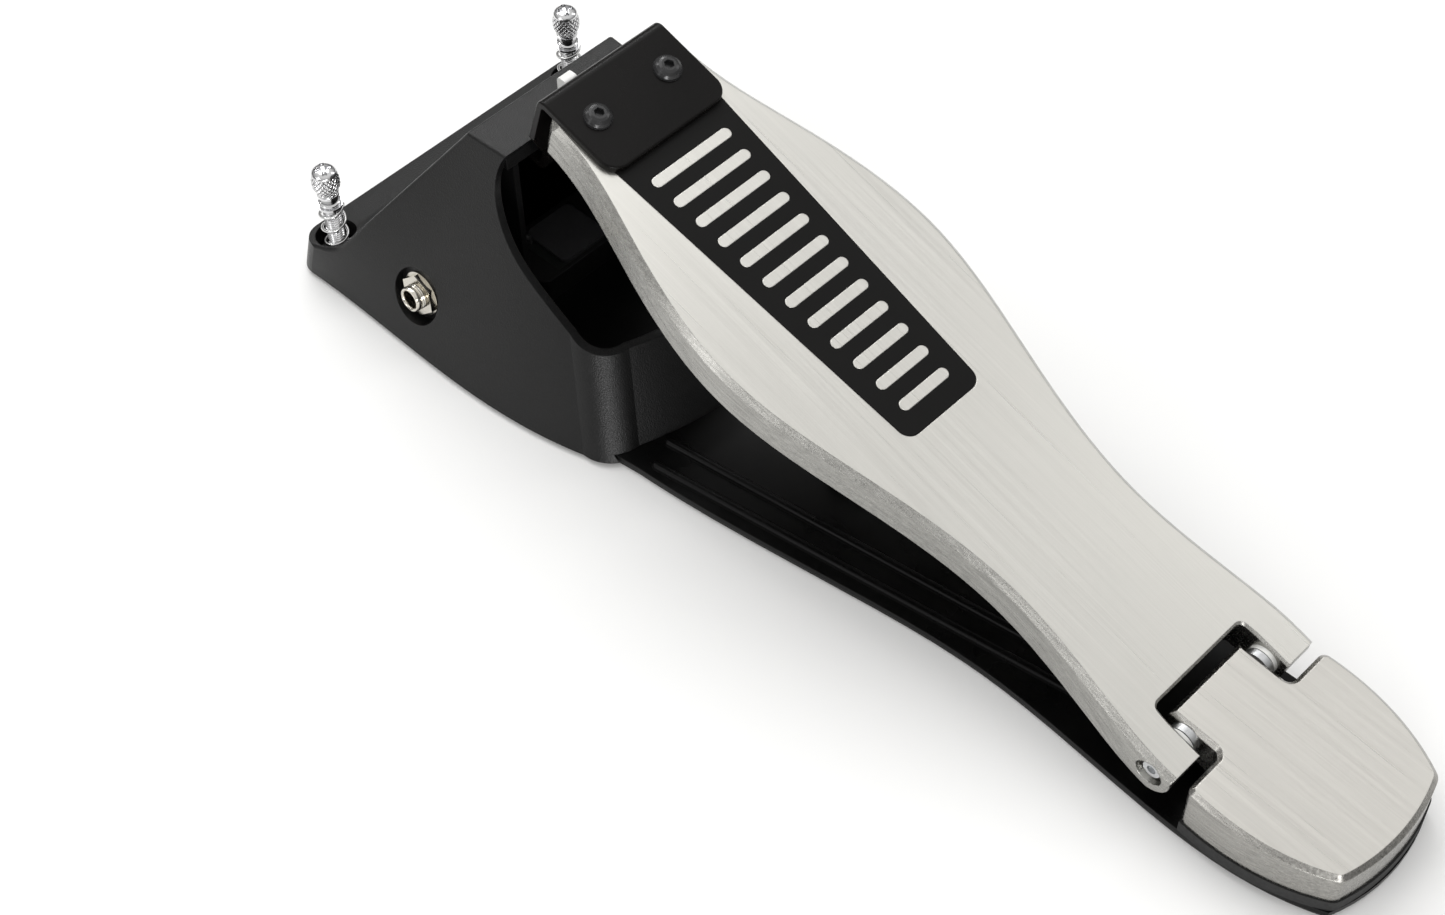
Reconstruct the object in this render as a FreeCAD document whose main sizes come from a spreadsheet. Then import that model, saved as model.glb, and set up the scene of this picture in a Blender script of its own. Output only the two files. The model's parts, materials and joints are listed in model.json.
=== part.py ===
"""Hi-hat control pedal, in millimetres.

+Y points to the toe end, +X to the player's right, +Z up. The origin is on the floor under the
middle of the pedal. The pedal is drawn at rest, with the toe of the footboard up.
"""
import FreeCAD, Part
import math
import os
import Sketcher
from FreeCAD import Placement, Rotation, Vector

os.makedirs("parts", exist_ok=True)
doc = FreeCAD.newDocument("HiHatPedal")

# ---------------------------------------------------------------- driving dimensions
DRIVING = {
    # whole pedal and base
    "HalfDepth": 204.5,
    "SoleThickness": 1.8,
    "BaseTop": 4.0,
    "BaseThickness": 2.2,
    "RibHeight": 1.5,
    # hinge
    "HingeY": -140.5,
    "HingeZ": 21.2,
    "ShaftRadius": 3.0,
    "ShaftHalfLength": 29.8,
    "BushOuterRadius": 4.2,
    "BushClearance": 0.05,
    "FlangeRadius": 4.9,
    "FlangeThickness": 1.5,
    "EndScrewHeadRadius": 3.9,
    "EndScrewHeadHeight": 2.2,
    # heel plate
    "HeelBottom": 8.5,
    "HeelFrontZ": 25.5,
    "HeelSlope": 5.6,
    "TongueHalfWidth": 16.35,
    "TongueFrontY": -133.9,
    "ShoulderY": -152.5,
    "HeelHalfWidth": 32.3,
    "HeelChamfer": 1.5,
    # footboard
    "RestAngle": 17.5,
    "BoardTop": 6.3,
    "BoardDepth": 13.2,
    "BoardSkin": 4.0,
    "BoardWall": 4.5,
    "BoardChamfer": 2.0,
    "PartingStep": 0.35,
    "ToeU": 262.0,
    "EarRearU": -6.5,
    "EarInnerX": 20.5,
    "EarOuterX": 33.4,
    "NotchU": 12.1,
    "EarRadius": 7.2,
    # grip panel
    "PanelDepth": 0.9,
    "PanelHeelU": 115.0,
    "PanelToeU": 256.0,
    "PanelHeelHalfWidth": 16.2,
    "PanelToeHalfWidth": 23.9,
    "SlotCount": 12,
    "SlotPitch": 9.14,
    "FirstSlotU": 224.8,
    "SlotRadius": 2.0,
    "SlotHalfLength": 14.5,
    "SlotShortening": 0.56,
    # toe bracket
    "BracketSheet": 2.4,
    "BracketHalfWidth": 25.1,
    "BracketRearU": 233.8,
    "BracketFrontU": 267.9,
    "BracketScrewU": 251.8,
    "BracketScrewX": 14.8,
    "ButtonHeadRadius": 4.75,
    "LipTopW": -36.0,
    "LipLength": 17.0,
    "LipHalfWidth": 16.0,
    # housing
    "HousingWall": 2.6,
    "RidgeY": 141.5,
    "RidgeZ": 81.0,
    "RidgeHalfWidth": 31.0,
    "ShelfZ": 16.8,
    "ShelfRearY": 185.2,
    "ShelfSlope": 8.0,
    "RecessRimZ": 33.0,
    "FrontDraft": 20.0,
    "PlateauRearY": 124.2,
    # anchors
    "AnchorX": 54.9,
    "AnchorY": 192.1,
    "AnchorPocketRadius": 7.2,
    "AnchorPocketFloor": 7.0,
    "AnchorThreadRadius": 3.0,
    "AnchorHeadRadius": 4.85,
    "AnchorTop": 47.8,
    "AnchorSpringTop": 31.0,
    # jack
    "JackX": -55.7,
    "JackY": 147.4,
    "JackZ": 20.1,
    "JackTilt": 8.0,
    "JackBoreRadius": 3.25,
    "JackSleeveRadius": 4.55,
    # spring and sensor
    "SpringY": 3.5,
    "SpringRadius": 6.5,
    "SpringWire": 0.9,
    "SensorY": 138.8,
    "SensorHolderHeight": 9.8,
    "FrameY": 134.6,
    "FrameDepth": 10.0,
}

sheet = doc.addObject("Spreadsheet::Sheet", "Sizes")
for row, (alias, value) in enumerate(DRIVING.items(), start=1):
    sheet.set("A%d" % row, alias)
    sheet.set("B%d" % row, str(value))
    sheet.setAlias("B%d" % row, alias)
doc.recompute()


def size(alias):
    """A driving dimension, read from the sheet."""
    return float(sheet.get(alias))


# ---------------------------------------------------------------- shared frames
BOARD_FRAME = Placement(Vector(0, size("HingeY"), size("HingeZ")),
                        Rotation(Vector(1, 0, 0), size("RestAngle")))
JACK_FRAME = Placement(Vector(size("JackX"), size("JackY"), size("JackZ")),
                       Rotation(Vector(0, 0, 1), Vector(-math.cos(math.radians(size("JackTilt"))), 0,
                                                        math.sin(math.radians(size("JackTilt"))))))
ALONG_X = Rotation(Vector(0, 1, 0), 90)
SIDES = (-1, 1)
exported = {}


# ---------------------------------------------------------------- drawing helpers
def keep(shape_object, node):
    """Mark a finished object as a sub-part and give it its name."""
    shape_object.Label = node
    exported[node] = shape_object
    return shape_object


def new_body(name, frame=Placement()):
    body = doc.addObject("PartDesign::Body", name)
    body.Placement = frame
    return body


def new_sketch(body, name, plane="XY_Plane", lift=None):
    """A sketch on one of the body's own origin planes, lifted along that plane's normal."""
    sketch = body.newObject("Sketcher::SketchObject", name)
    support = next(f for f in body.Origin.OriginFeatures if f.Role == plane)
    sketch.AttachmentSupport = (support, [""])
    sketch.MapMode = "FlatFace"
    if lift is not None:
        sketch.setExpression("AttachmentOffset.Base.z", lift)
    return sketch


def polygon(sketch, points):
    """Closed straight-sided outline."""
    corners = [Vector(x, y, 0) for x, y in points]
    for start, end in zip(corners, corners[1:] + corners[:1]):
        sketch.addGeometry(Part.LineSegment(start, end), False)


def rounded(sketch, points, radii):
    """Closed outline whose corners are arcs of the given radii (0 leaves a sharp corner)."""
    corners = [Vector(x, y, 0) for x, y in points]
    count = len(corners)
    ends = []
    for i, corner in enumerate(corners):
        back = (corners[i - 1] - corner).normalize()
        ahead = (corners[(i + 1) % count] - corner).normalize()
        half_turn = back.getAngle(ahead) / 2
        reach = radii[i] / math.tan(half_turn) if radii[i] else 0
        arc_in = corner + back * reach
        arc_out = corner + ahead * reach
        if radii[i]:
            to_centre = (back + ahead).normalize() * (radii[i] / math.sin(half_turn))
            middle = corner + to_centre - (back + ahead).normalize() * radii[i]
            sketch.addGeometry(Part.Arc(arc_in, middle, arc_out), False)
        ends.append((arc_in, arc_out))
    for i in range(count):
        start, end = ends[i][1], ends[(i + 1) % count][0]
        if start.distanceToPoint(end) > 1e-6:
            sketch.addGeometry(Part.LineSegment(start, end), False)


def circle(sketch, x, y, radius_alias):
    """A circle whose radius is bound to the sheet."""
    index = sketch.addGeometry(Part.Circle(Vector(x, y, 0), Vector(0, 0, 1), size(radius_alias)), False)
    place = sketch.addConstraint(Sketcher.Constraint("Radius", index, size(radius_alias)))
    sketch.setExpression("Constraints[%d]" % place, "Sizes." + radius_alias)


def plain_circle(sketch, x, y, radius):
    sketch.addGeometry(Part.Circle(Vector(x, y, 0), Vector(0, 0, 1), radius), False)


def feature(body, kind, sketch, length, name, both_ways=False, reverse=False):
    """Pad or Pocket; its length is an expression of the sheet's cells."""
    step = body.newObject("PartDesign::" + kind, name)
    step.Profile = sketch
    step.setExpression("Length", length)
    if both_ways:
        step.SideType = "Symmetric"
    step.Reversed = reverse
    doc.recompute()
    return step


def pocket(body, sketch, length, name, both_ways=False, reverse=False):
    """Pocket that must take material away."""
    before = body.Shape.Volume
    step = feature(body, "Pocket", sketch, length, name, both_ways, reverse)
    if before - body.Shape.Volume < 1e-3:
        raise RuntimeError("pocket %s cuts nothing" % name)
    return step


def pad(body, sketch, length, name, both_ways=False, reverse=False):
    return feature(body, "Pad", sketch, length, name, both_ways, reverse)


def cylinder(name, frame, radius, height):
    """Part cylinder; radius and height are expressions of the sheet's cells."""
    shape = doc.addObject("Part::Cylinder", name)
    shape.setExpression("Radius", radius)
    shape.setExpression("Height", height)
    shape.Placement = frame
    return shape


def box(name, frame, length, width, height):
    shape = doc.addObject("Part::Box", name)
    shape.setExpression("Length", length)
    shape.setExpression("Width", width)
    shape.setExpression("Height", height)
    shape.Placement = frame
    return shape


def cut(name, base, tool):
    step = doc.addObject("Part::Cut", name)
    step.Base, step.Tool = base, tool
    return step


def fuse(name, pieces):
    step = doc.addObject("Part::MultiFuse", name)
    step.Shapes = pieces
    return step


def group(name, pieces):
    """Separate solids kept together in one sub-part."""
    step = doc.addObject("Part::Compound", name)
    step.Links = pieces
    return step


def turned(name, profile, frame=Placement()):
    """Solid of revolution about the frame's Z; profile is a list of (radius, height)."""
    body = new_body(name, frame)
    sketch = new_sketch(body, name + "Profile", "XZ_Plane")
    polygon(sketch, profile)
    step = body.newObject("PartDesign::Revolution", name + "Turn")
    step.Profile = sketch
    step.ReferenceAxis = (sketch, ["V_Axis"])
    step.Angle = 360
    doc.recompute()
    return body


def edges_where(shape, test):
    """Names of the edges whose middle passes the test."""
    names = []
    for index, edge in enumerate(shape.Edges, start=1):
        middle = edge.valueAt((edge.FirstParameter + edge.LastParameter) / 2)
        if test(edge, middle):
            names.append("Edge%d" % index)
    return names


def dress(body, kind, edges, alias, name):
    """Fillet or Chamfer of the tip's edges, with its size bound to the sheet."""
    step = body.newObject("PartDesign::" + kind, name)
    step.Base = (body.Tip if body.Tip is not step else step.BaseFeature, edges)
    step.setExpression("Radius" if kind == "Fillet" else "Size", alias)
    doc.recompute()
    if "Invalid" in step.State:
        raise RuntimeError("%s failed on %d edges" % (name, len(edges)))
    return step


# ---------------------------------------------------------------- base
REAR_Y = -size("HalfDepth")


def base_outline(sketch, inset=0.0):
    """Plan of the base: a waisted tail that widens into the front housing."""
    side = [(24.5, -199.5), (31.6, -172), (31.9, -132), (29.8, -78), (36.5, -25), (47.8, 52)]
    side = [(x - inset, y + (inset if i == 0 else 0)) for i, (x, y) in enumerate(side)]
    front_x, front_y = 60.6 - inset, 200.4 - inset
    for sign in SIDES:
        tail = Part.BSplineCurve()
        tail.interpolate([Vector(sign * x, y, 0) for x, y in side])
        sketch.addGeometry(tail, False)
        sketch.addGeometry(Part.Arc(Vector(sign * side[-1][0], side[-1][1], 0),
                                    Vector(sign * (57.2 - inset), 130, 0),
                                    Vector(sign * front_x, front_y, 0)), False)
    sketch.addGeometry(Part.LineSegment(Vector(-front_x, front_y, 0), Vector(front_x, front_y, 0)), False)
    sketch.addGeometry(Part.Arc(Vector(-side[0][0], side[0][1], 0), Vector(0, REAR_Y + inset, 0),
                                Vector(side[0][0], side[0][1], 0)), False)


HEEL_SCREWS = [(-25.0, -164.0), (25.0, -164.0), (-13.0, -196.0), (13.0, -196.0)]
HOUSING_SCREWS = [(-44.0, 80.0), (44.0, 80.0), (-48.0, 172.0), (48.0, 172.0)]
FRAME_SCREWS = [(sign * 28.0, size("FrameY")) for sign in (-1, 1)]
SENSOR_SCREWS = [(-16.5, size("SensorY")), (16.5, size("SensorY"))]
ANCHORS = [(sign * size("AnchorX"), size("AnchorY")) for sign in SIDES]
SCREW_HOLE = 1.75
SCREW_HEAD = 3.4


def build_base_plate():
    body = new_body("BasePlate")
    outline = new_sketch(body, "BaseOutline", lift="Sizes.BaseTop - Sizes.BaseThickness")
    base_outline(outline)
    pad(body, outline, "Sizes.BaseThickness", "BaseSheet")
    ribs = new_sketch(body, "Ribs", lift="Sizes.BaseTop - 0.2")
    rib_half = 1.6
    for sign in SIDES:
        for front, rear in (((43.2, 48.0), (17.5, -102.0)), ((33.6, 52.0), (8.5, -102.0))):
            start = Vector(sign * front[0], front[1], 0)
            end = Vector(sign * rear[0], rear[1], 0)
            along = (end - start).normalize()
            across = Vector(-along.y, along.x, 0) * rib_half
            ribs.addGeometry(Part.LineSegment(start + across, end + across), False)
            ribs.addGeometry(Part.LineSegment(start - across, end - across), False)
            ribs.addGeometry(Part.Arc(end + across, end + along * rib_half, end - across), False)
            ribs.addGeometry(Part.Arc(start + across, start - along * rib_half, start - across), False)
    pad(body, ribs, "Sizes.RibHeight + 0.2", "RibPads")
    top = size("BaseTop") + size("RibHeight")
    rims = edges_where(body.Tip.Shape, lambda edge, p: abs(p.z - top) < 1e-3)
    dress(body, "Fillet", rims, "Sizes.RibHeight * 0.85", "RibRounding")
    holes = new_sketch(body, "BaseHoles", lift="Sizes.BaseTop + 1")
    for x, y in HEEL_SCREWS + HOUSING_SCREWS + FRAME_SCREWS + SENSOR_SCREWS:
        plain_circle(holes, x, y, SCREW_HOLE)
    for x, y in ANCHORS:
        plain_circle(holes, x, y, 4.2)
    pocket(body, holes, "Sizes.BaseTop + 2", "BaseHoleCut")
    keep(body, "base_plate")


def build_rubber_sole():
    body = new_body("RubberSole")
    outline = new_sketch(body, "SoleOutline")
    base_outline(outline, inset=0.6)
    pad(body, outline, "Sizes.SoleThickness", "SoleSheet")
    holes = new_sketch(body, "SoleHoles", lift="Sizes.SoleThickness")
    for x, y in HEEL_SCREWS + HOUSING_SCREWS + FRAME_SCREWS + SENSOR_SCREWS:
        plain_circle(holes, x, y, SCREW_HEAD + 0.6)
    for x, y in ANCHORS:
        plain_circle(holes, x, y, 4.7)
    pocket(body, holes, "Sizes.SoleThickness + 1", "SoleHoleCut")
    grooves = new_sketch(body, "SoleGrooves")
    for y in range(-160, 180, 20):
        half = 14 if y < -20 else 26
        rounded(grooves, [(-half, y - 1.2), (half, y - 1.2), (half, y + 1.2), (-half, y + 1.2)], [1.1] * 4)
    pocket(body, grooves, "Sizes.SoleThickness * 0.5", "SoleGrooveCut", reverse=True)
    keep(body, "rubber_sole")


def pan_screw(name, x, y, seat, length, into_up=True, radius=SCREW_HEAD, height=1.3, shank=SCREW_HOLE - 0.15):
    """Screw with a low head below its seat and its shank upwards."""
    profile = [(0, -height), (radius * 0.8, -height), (radius, -height * 0.55), (radius, 0), (shank, 0),
               (shank, length - shank * 0.6), (shank * 0.3, length), (0, length)]
    if not into_up:
        profile = [(r, -h) for r, h in profile]
    screw = turned(name, profile, Placement(Vector(x, y, seat), Rotation()))
    return screw


def build_underside_screws():
    seat = size("BaseTop") - size("BaseThickness")
    for node, places, length in (("heel_screws", HEEL_SCREWS, 14.5), ("housing_screws", HOUSING_SCREWS, 12.0),
                                 ("frame_screws", FRAME_SCREWS, 6.0), ("sensor_screws", SENSOR_SCREWS, 7.0)):
        screws = [pan_screw("%s%d" % (node, i), x, y, seat, length) for i, (x, y) in enumerate(places)]
        keep(group(node + "Set", screws), node)


# ---------------------------------------------------------------- heel plate and hinge
HEEL_REAR = (23.2, -199.6)


def heel_outline(sketch):
    """Plan of the heel plate: a tongue between the footboard's ears, then a round-sided plate."""
    tongue, front = size("TongueHalfWidth"), size("TongueFrontY")
    shoulder, half = size("ShoulderY"), size("HeelHalfWidth")
    rear_x, rear_y = HEEL_REAR
    root = 2.6
    for sign in SIDES:
        sketch.addGeometry(Part.LineSegment(Vector(sign * tongue, front, 0),
                                            Vector(sign * tongue, shoulder + root, 0)), False)
        bend = root * (1 - math.sqrt(0.5))
        sketch.addGeometry(Part.Arc(Vector(sign * tongue, shoulder + root, 0),
                                    Vector(sign * (tongue + bend), shoulder + bend, 0),
                                    Vector(sign * (tongue + root), shoulder, 0)), False)
        sketch.addGeometry(Part.LineSegment(Vector(sign * (tongue + root), shoulder, 0),
                                            Vector(sign * half, shoulder, 0)), False)
        side = Part.BSplineCurve()
        side.interpolate([Vector(sign * half, shoulder, 0), Vector(sign * 32.7, -168, 0),
                          Vector(sign * 29.8, -184.5, 0), Vector(sign * rear_x, rear_y, 0)])
        sketch.addGeometry(side, False)
    sketch.addGeometry(Part.LineSegment(Vector(-tongue, front, 0), Vector(tongue, front, 0)), False)
    sketch.addGeometry(Part.Arc(Vector(-rear_x, rear_y, 0), Vector(0, REAR_Y + 1.0, 0),
                                Vector(rear_x, rear_y, 0)), False)


def heel_top(y):
    return size("HeelFrontZ") + (y - size("ShoulderY")) * math.tan(math.radians(size("HeelSlope")))


def build_heel_plate():
    body = new_body("HeelPlate")
    outline = new_sketch(body, "HeelOutline", lift="Sizes.HeelBottom")
    heel_outline(outline)
    pad(body, outline, "Sizes.HeelFrontZ", "HeelBlock")
    half = size("HeelHalfWidth")
    for name, place, radius in (("Shoulders", (half, size("ShoulderY")), "2.6"),
                                ("RearCorners", (HEEL_REAR[0], HEEL_REAR[1]), "4.5")):
        uprights = edges_where(body.Tip.Shape, lambda edge, p: (abs(abs(p.x) - place[0]) < 0.1
                                                                and abs(p.y - place[1]) < 0.1))
        dress(body, "Fillet", uprights, radius, name)
    slope = new_sketch(body, "HeelSlopeCut", "YZ_Plane")
    rear, front = -220.0, -120.0
    polygon(slope, [(rear, heel_top(rear)), (front, heel_top(front)), (front, 60), (rear, 60)])
    pocket(body, slope, "Sizes.HeelHalfWidth * 3", "HeelTop", both_ways=True)
    shoulder = size("ShoulderY")
    top_edges = edges_where(body.Tip.Shape, lambda edge, p: abs(p.z - heel_top(p.y)) < 0.02)
    dress(body, "Chamfer", top_edges, "Sizes.HeelChamfer", "HeelEdge")
    throat = new_sketch(body, "TongueUnderside", "YZ_Plane")
    toe_side = size("TongueFrontY") + 1
    rounded(throat, [(toe_side, 3), (toe_side, 13.0), (shoulder + 4, 13.0), (shoulder + 1, 3)], [0, 0, 3, 0])
    pocket(body, throat, "Sizes.TongueHalfWidth * 3", "TongueRelief", both_ways=True)
    hollow = new_sketch(body, "HeelHollow", lift="Sizes.HeelBottom")
    rounded(hollow, [(-18, -190), (18, -190), (18, -158), (-18, -158)], [5] * 4)
    pocket(body, hollow, "Sizes.HeelFrontZ * 0.3", "HeelHollowCut", reverse=True)
    bore = new_sketch(body, "ShaftBore", "YZ_Plane")
    circle(bore, size("HingeY"), size("HingeZ"), "ShaftRadius")
    pocket(body, bore, "Sizes.HeelHalfWidth * 3", "ShaftHole", both_ways=True)
    holes = new_sketch(body, "HeelScrewHoles", lift="Sizes.HeelBottom")
    for x, y in HEEL_SCREWS:
        plain_circle(holes, x, y, SCREW_HOLE - 0.15)
    pocket(body, holes, "Sizes.HeelBottom * 0.98", "HeelScrewCut", reverse=True)
    keep(body, "heel_plate")


def build_heel_spacer():
    """Black spacer that lifts the heel plate off the base plate."""
    body = new_body("HeelSpacer")
    outline = new_sketch(body, "SpacerOutline", lift="Sizes.BaseTop")
    half, front = size("HeelHalfWidth") + 0.5, size("ShoulderY") - 0.5
    rear_x, rear_y = HEEL_REAR[0] + 0.3, HEEL_REAR[1] - 0.4
    for sign in SIDES:
        side = Part.BSplineCurve()
        side.interpolate([Vector(sign * half, front, 0), Vector(sign * (half + 0.4), -168, 0),
                          Vector(sign * (half - 2.5), -184.5, 0), Vector(sign * rear_x, rear_y, 0)])
        outline.addGeometry(side, False)
    outline.addGeometry(Part.LineSegment(Vector(-half, front, 0), Vector(half, front, 0)), False)
    outline.addGeometry(Part.Arc(Vector(-rear_x, rear_y, 0), Vector(0, REAR_Y + 0.4, 0),
                                 Vector(rear_x, rear_y, 0)), False)
    pad(body, outline, "Sizes.HeelBottom - Sizes.BaseTop", "SpacerSheet")
    uprights = edges_where(body.Tip.Shape, lambda edge, p: abs(p.z - 6.25) < 0.1 and abs(abs(p.x) - rear_x) < 0.1)
    dress(body, "Fillet", uprights, "4.5", "SpacerCorners")
    openings = new_sketch(body, "SpacerOpenings", lift="Sizes.BaseTop")
    rounded(openings, [(-18, -190), (18, -190), (18, -158), (-18, -158)], [5] * 4)
    for x, y in HEEL_SCREWS:
        plain_circle(openings, x, y, SCREW_HOLE)
    pocket(body, openings, "Sizes.HeelBottom", "SpacerCut", reverse=True)
    keep(body, "heel_spacer")


def hinge_frame(x):
    """Frame on the hinge line at x, with Z pointing outwards (away from the middle)."""
    turn = ALONG_X if x > 0 else Rotation(Vector(0, 1, 0), -90)
    return Placement(Vector(x, size("HingeY"), size("HingeZ")), turn)


def ring(name, frame, outer, inner, height):
    """Flat washer."""
    return cut(name, cylinder(name + "Disc", frame, outer, height), cylinder(name + "Hole", frame, inner, height))


def build_hinge():
    start = Placement(Vector(-size("ShaftHalfLength"), size("HingeY"), size("HingeZ")), ALONG_X)
    keep(cylinder("HingeShaft", start, "Sizes.ShaftRadius", "Sizes.ShaftHalfLength * 2"), "hinge_shaft")

    head, rise = size("EndScrewHeadRadius"), size("EndScrewHeadHeight")
    screws, washers, bushes = [], [], []
    for sign in SIDES:
        tag = "Left" if sign < 0 else "Right"
        profile = [(0, 0), (head, 0), (head, rise * 0.5), (head * 0.75, rise), (1.5, rise), (1.5, rise * 0.3),
                   (0, rise * 0.3)]
        screws.append(turned("HingeEndScrew" + tag, profile, hinge_frame(sign * size("ShaftHalfLength"))))
        tongue = size("TongueHalfWidth")
        washers.append(ring("HingeWasher" + tag, hinge_frame(sign * tongue), "Sizes.FlangeRadius",
                            "Sizes.ShaftRadius", "Sizes.EarInnerX - Sizes.TongueHalfWidth"
                            " - Sizes.FlangeThickness - 0.35"))
        bore = size("ShaftRadius") + size("BushClearance")
        outer, flange, thick = size("BushOuterRadius"), size("FlangeRadius"), size("FlangeThickness")
        length = size("ShaftHalfLength") - size("EarInnerX") - 0.4
        bush = [(bore, -thick), (flange, -thick), (flange, 0), (outer, 0), (outer, length), (bore, length)]
        bushes.append(turned("HingeBush" + tag, bush, hinge_frame(sign * size("EarInnerX"))))
    keep(group("HingeEndScrews", screws), "hinge_end_screws")
    keep(group("HingeWashers", washers), "hinge_washers")
    keep(group("HingeBushings", bushes), "hinge_bushings")


# ---------------------------------------------------------------- footboard
# Half-widths of the footboard's side wall, from the toe to the ears.
BOARD_SIDE = [(27.4, 258.0), (29.0, 243.0), (37.6, 211.0), (45.3, 163.0), (37.0, 116.0),
              (27.9, 62.0), (31.5, 22.0), (33.3, 7.0), (33.4, -6.5)]


def board_outline(sketch, inset, toe_u, heel_u):
    """Plan of the board without its notch. inset narrows it all round for the hollow underneath."""
    points = [(x - inset, u) for x, u in BOARD_SIDE if heel_u < u < toe_u]
    ends = {toe_u: BOARD_SIDE[0][0] - inset, heel_u: BOARD_SIDE[-1][0] - inset if heel_u < 0 else 26.0 - inset}
    points = [(ends[toe_u], min(toe_u, 258.0))] + [p for p in points if p[1] < toe_u - 5] + [(ends[heel_u], heel_u)]
    corner = 4.0 if toe_u > 258 else 0.0
    for sign in SIDES:
        side = Part.BSplineCurve()
        side.interpolate([Vector(sign * x, u, 0) for x, u in points])
        sketch.addGeometry(side, False)
        if corner:
            sketch.addGeometry(Part.LineSegment(Vector(sign * points[0][0], points[0][1], 0),
                                                Vector(sign * (points[0][0] - corner), toe_u, 0)), False)
    reach = points[0][0] - corner
    sketch.addGeometry(Part.LineSegment(Vector(-reach, toe_u, 0), Vector(reach, toe_u, 0)), False)
    sketch.addGeometry(Part.LineSegment(Vector(-points[-1][0], heel_u, 0), Vector(points[-1][0], heel_u, 0)), False)


def panel_outline(sketch, gap):
    """Tapered grip panel; gap is the clearance to its recess."""
    heel_u, toe_u = size("PanelHeelU") + gap, size("PanelToeU") - gap
    heel_x, toe_x = size("PanelHeelHalfWidth") - gap, size("PanelToeHalfWidth") - gap
    rounded(sketch, [(-heel_x, heel_u), (heel_x, heel_u), (toe_x, toe_u), (-toe_x, toe_u)], [4.5, 4.5, 2, 2])


def slot_outlines(sketch, grow):
    """The row of round-ended bars that shorten towards the heel."""
    radius = size("SlotRadius") + grow
    for i in range(int(size("SlotCount"))):
        u = size("FirstSlotU") - i * size("SlotPitch")
        half = size("SlotHalfLength") - i * size("SlotShortening")
        for sign in SIDES:
            sketch.addGeometry(Part.LineSegment(Vector(-half, u + sign * radius, 0),
                                                Vector(half, u + sign * radius, 0)), False)
            sketch.addGeometry(Part.Arc(Vector(sign * half, u - radius, 0), Vector(sign * (half + radius), u, 0),
                                        Vector(sign * half, u + radius, 0)), False)


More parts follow.
